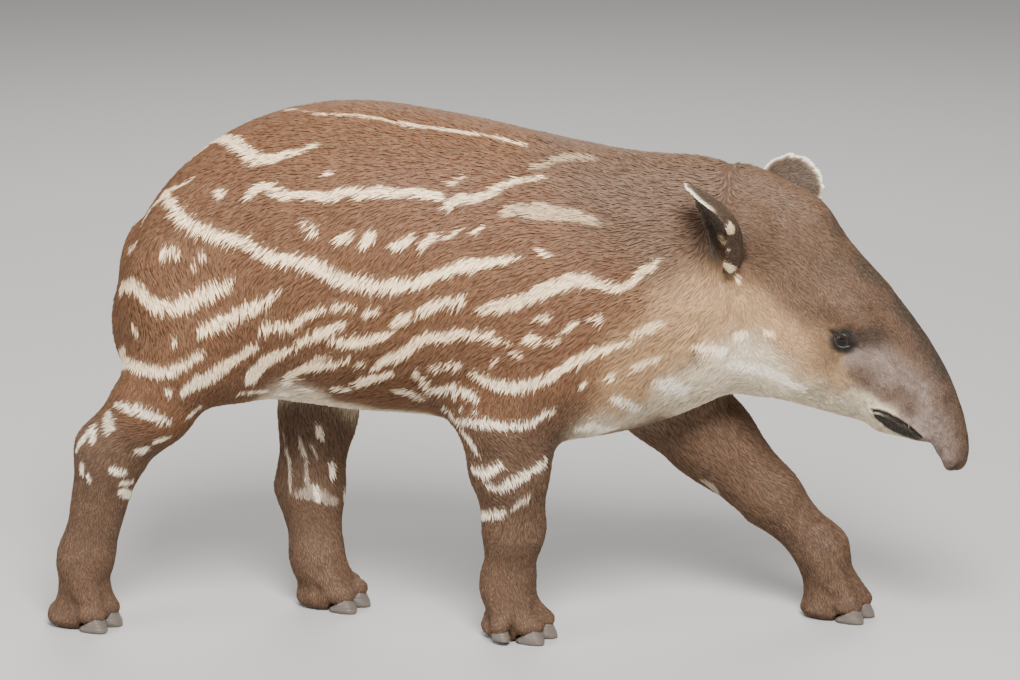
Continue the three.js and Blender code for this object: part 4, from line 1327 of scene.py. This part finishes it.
def makeTufts(name, roots, up, ways, sizes, tips, tipNormals):
    count = len(roots)
    width, rise = sizes.T[1:, :, None]
    beside = np.cross(up, ways)
    atRoot, atTip = tuftShape["waist"]
    middle = roots * atRoot + tips * atTip + tipNormals * rise * tuftShape["waistRise"]
    corners = np.stack([
        roots - up * tuftShape["sunk"],
        middle - beside * width / 2,
        middle + beside * width / 2,
        middle + up * (rise * tuftShape["ridgeRise"] + width * tuftShape["ridge"]),
        tips + tipNormals * rise,
    ], 1)
    shape = np.array([(0, 1, 3), (0, 3, 2), (1, 4, 3), (3, 4, 2), (0, 2, 1), (1, 2, 4)])
    triangles = (shape + 5 * np.arange(count)[:, None, None]).reshape(-1, 3).astype(np.int32)
    starts = np.arange(0, len(triangles) * 3, 3, dtype=np.int32)
    mesh = bpy.data.meshes.new("coat_" + name)
    mesh.vertices.add(count * 5)
    mesh.vertices.foreach_set("co", corners.astype(np.float32).ravel())
    mesh.loops.add(len(triangles) * 3)
    mesh.loops.foreach_set("vertex_index", triangles.ravel())
    mesh.polygons.add(len(triangles))
    mesh.polygons.foreach_set("loop_start", starts)
    mesh.update(calc_edges=True)
    patch = np.array([(0, -0.5), (-0.4, 0), (0.4, 0), (0, 0), (0, 0.5)]) * tuftShape["patch"]
    flat = (unwrapped(name, roots, up)[:, None] + patch).reshape(-1, 2)[triangles.ravel()]
    uvs = mesh.uv_layers.new(name="OFBake")
    uvs.data.foreach_set("uv", flat.astype(np.float32).ravel())
    lean = beside * tuftShape["lean"]
    shade = [up, up - lean, up + lean, up, tipNormals + ways * tuftShape["tipLean"]]
    shade = unit(np.stack(shade, 1)).reshape(-1, 3).astype(np.float32)
    mesh.shade_smooth()
    mesh.normals_split_custom_set_from_vertices(shade)
    return mesh


def makeCoat():
    roots, up, owners, ears = tuftRoots(skin.data)
    sizes = tuftSizes(roots, up, owners)
    ways = lieAt(roots, up, lieAnchors())
    clump = noise(roots, 0.018) * 0.30 + noise(roots + 3, 0.006) * 0.22  # radians
    ways = turned(ways, up, clump + chance.normal(0, 0.12, len(roots)))
    found = [skinTree.find_nearest(Vector(place)) for place in roots + ways * sizes[:, :1]]
    tips = np.array([hit[0] for hit in found])
    tipNormals = np.array([hit[1] for hit in found])
    print("tufts placed,", len(roots))
    names = np.array([coatPiece(owner, place) for owner, place in zip(owners, roots)])
    fields = coatTones(roots, ears)
    clumpShade = noise(roots, 0.007) * 0.5 + noise(roots + 7, 0.0028) * 0.5
    finish = makeCoatFinish()
    parts = (roots, up, ways, sizes, tips, tipNormals)
    for name in sorted(set(names)):
        own = np.flatnonzero(names == name)
        mesh = makeTufts(name, *(part[own] for part in parts))
        fives = np.repeat(own, 5)
        paintTones(mesh, *(field[fives] for field in fields))
        along = np.tile([0.0, 0.4, 0.4, 0.55, 1.0], len(own))
        first = chance.random(len(own)) * 0.6 + clumpShade[own] * 0.4 + 0.2
        first = np.repeat(np.clip(first, 0, 1), 5)
        second = np.repeat(chance.random(len(own)), 5)
        paint(mesh, "strand", [first, along, second])
        mesh.materials.append(finish)
        piece = newPiece("coat_" + name, mesh)
        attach(piece, "root")
    print("coat made,", len(set(names)), "pieces")


makeCoat()


# Eyes: dark balls under the lids

eyeColours = {
    "pupil": (0.004, 0.004, 0.005),
    "iris": (0.030, 0.016, 0.009),
    "white": (0.10, 0.075, 0.06),
    "pupilEnd": 0.38,  # radians from the middle of the eye
    "irisEnd": 0.80,
    "bulge": 0.04,  # of the clear front over the iris, as a share of the radius
    "bulgeReach": 0.6,
}


def makeEyes():
    finish = Finish("eye")
    angle = finish.channels("eyeAngle")[0]
    pupilEnd, irisEnd = eyeColours["pupilEnd"] / 2, eyeColours["irisEnd"] / 2
    stops = [(0, eyeColours["pupil"]), (pupilEnd, eyeColours["pupil"]),
             (pupilEnd + 0.02, eyeColours["iris"]), (irisEnd, eyeColours["iris"]),
             (irisEnd + 0.03, eyeColours["white"])]
    colour = finish.add("ShaderNodeValToRGB", {"stops": stops}, {0: angle})
    finish.set(Base_Color=colour, Roughness=0.04, IOR=1.33)
    for eye in eyesFound:
        mesh = bpy.data.meshes.new(eye["name"] + "_ball")
        ball = bmesh.new()
        bmesh.ops.create_uvsphere(ball, u_segments=48, v_segments=32, radius=1)
        ball.to_mesh(mesh)
        ball.free()
        local = placesOf(mesh)
        off = np.arccos(np.clip(local[:, 2], -1, 1))
        bulge = eyeColours["bulge"] * hump(off, 0, eyeColours["bulgeReach"])
        far = eye["radius"] * (1 + bulge)
        basis = np.stack([eye["slit"], np.cross(eye["out"], eye["slit"]), eye["out"]], 1)
        setPlaces(mesh, eye["centre"] + (local * far[:, None]) @ basis.T)
        paint(mesh, "eyeAngle", [off / 2, off, off])
        mesh.shade_smooth()
        mesh.materials.append(finish.material)
        piece = newPiece(eye["name"] + "_ball", mesh)
        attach(piece, "root")
        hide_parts(eye["name"])


makeEyes()
print("eyes made")


# Hooves: smooth horn with faint growth rings

hooves = {
    "horn": (0.075, 0.060, 0.050),
    "worn": (0.16, 0.13, 0.105),
    "passes": 10,
}


def makeHooves():
    finish = Finish("hoof")
    rings = finish.speckle(90, 2, (0.25, 0.25, 9))
    blotch = finish.speckle(60, 2)
    colour = finish.mix(rings * 0.6 + blotch * 0.4, hooves["horn"], hooves["worn"])
    finish.set(Base_Color=colour, Roughness=0.42, Normal=finish.bump(rings, 0.0008))
    for name in hoofNodes:
        work = bmesh.new()
        work.from_mesh(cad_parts[name].data)
        bmesh.ops.remove_doubles(work, verts=work.verts, dist=1e-5)
        for _ in range(2):
            bmesh.ops.subdivide_edges(work, edges=work.edges, cuts=1, use_grid_fill=True)
        mesh = bpy.data.meshes.new(name + "_horn")
        work.to_mesh(mesh)
        work.free()
        places = placesOf(mesh)
        edges = edgesOf(mesh)
        sole = places[:, 2] < places[:, 2].min() + 0.0004
        smooth = spread(places, edges, 1, hooves["passes"])
        smooth = smooth + spread(places - smooth, edges, 1, hooves["passes"])
        smooth[sole, 2] = places[sole, 2]
        smooth[:, 2] = np.maximum(smooth[:, 2], places[:, 2].min())
        setPlaces(mesh, smooth)
        mesh.shade_smooth()
        mesh.materials.append(finish.material)
        piece = newPiece(name + "_horn", mesh)
        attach(piece, "root")
        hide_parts(name)


makeHooves()
print("hooves made")
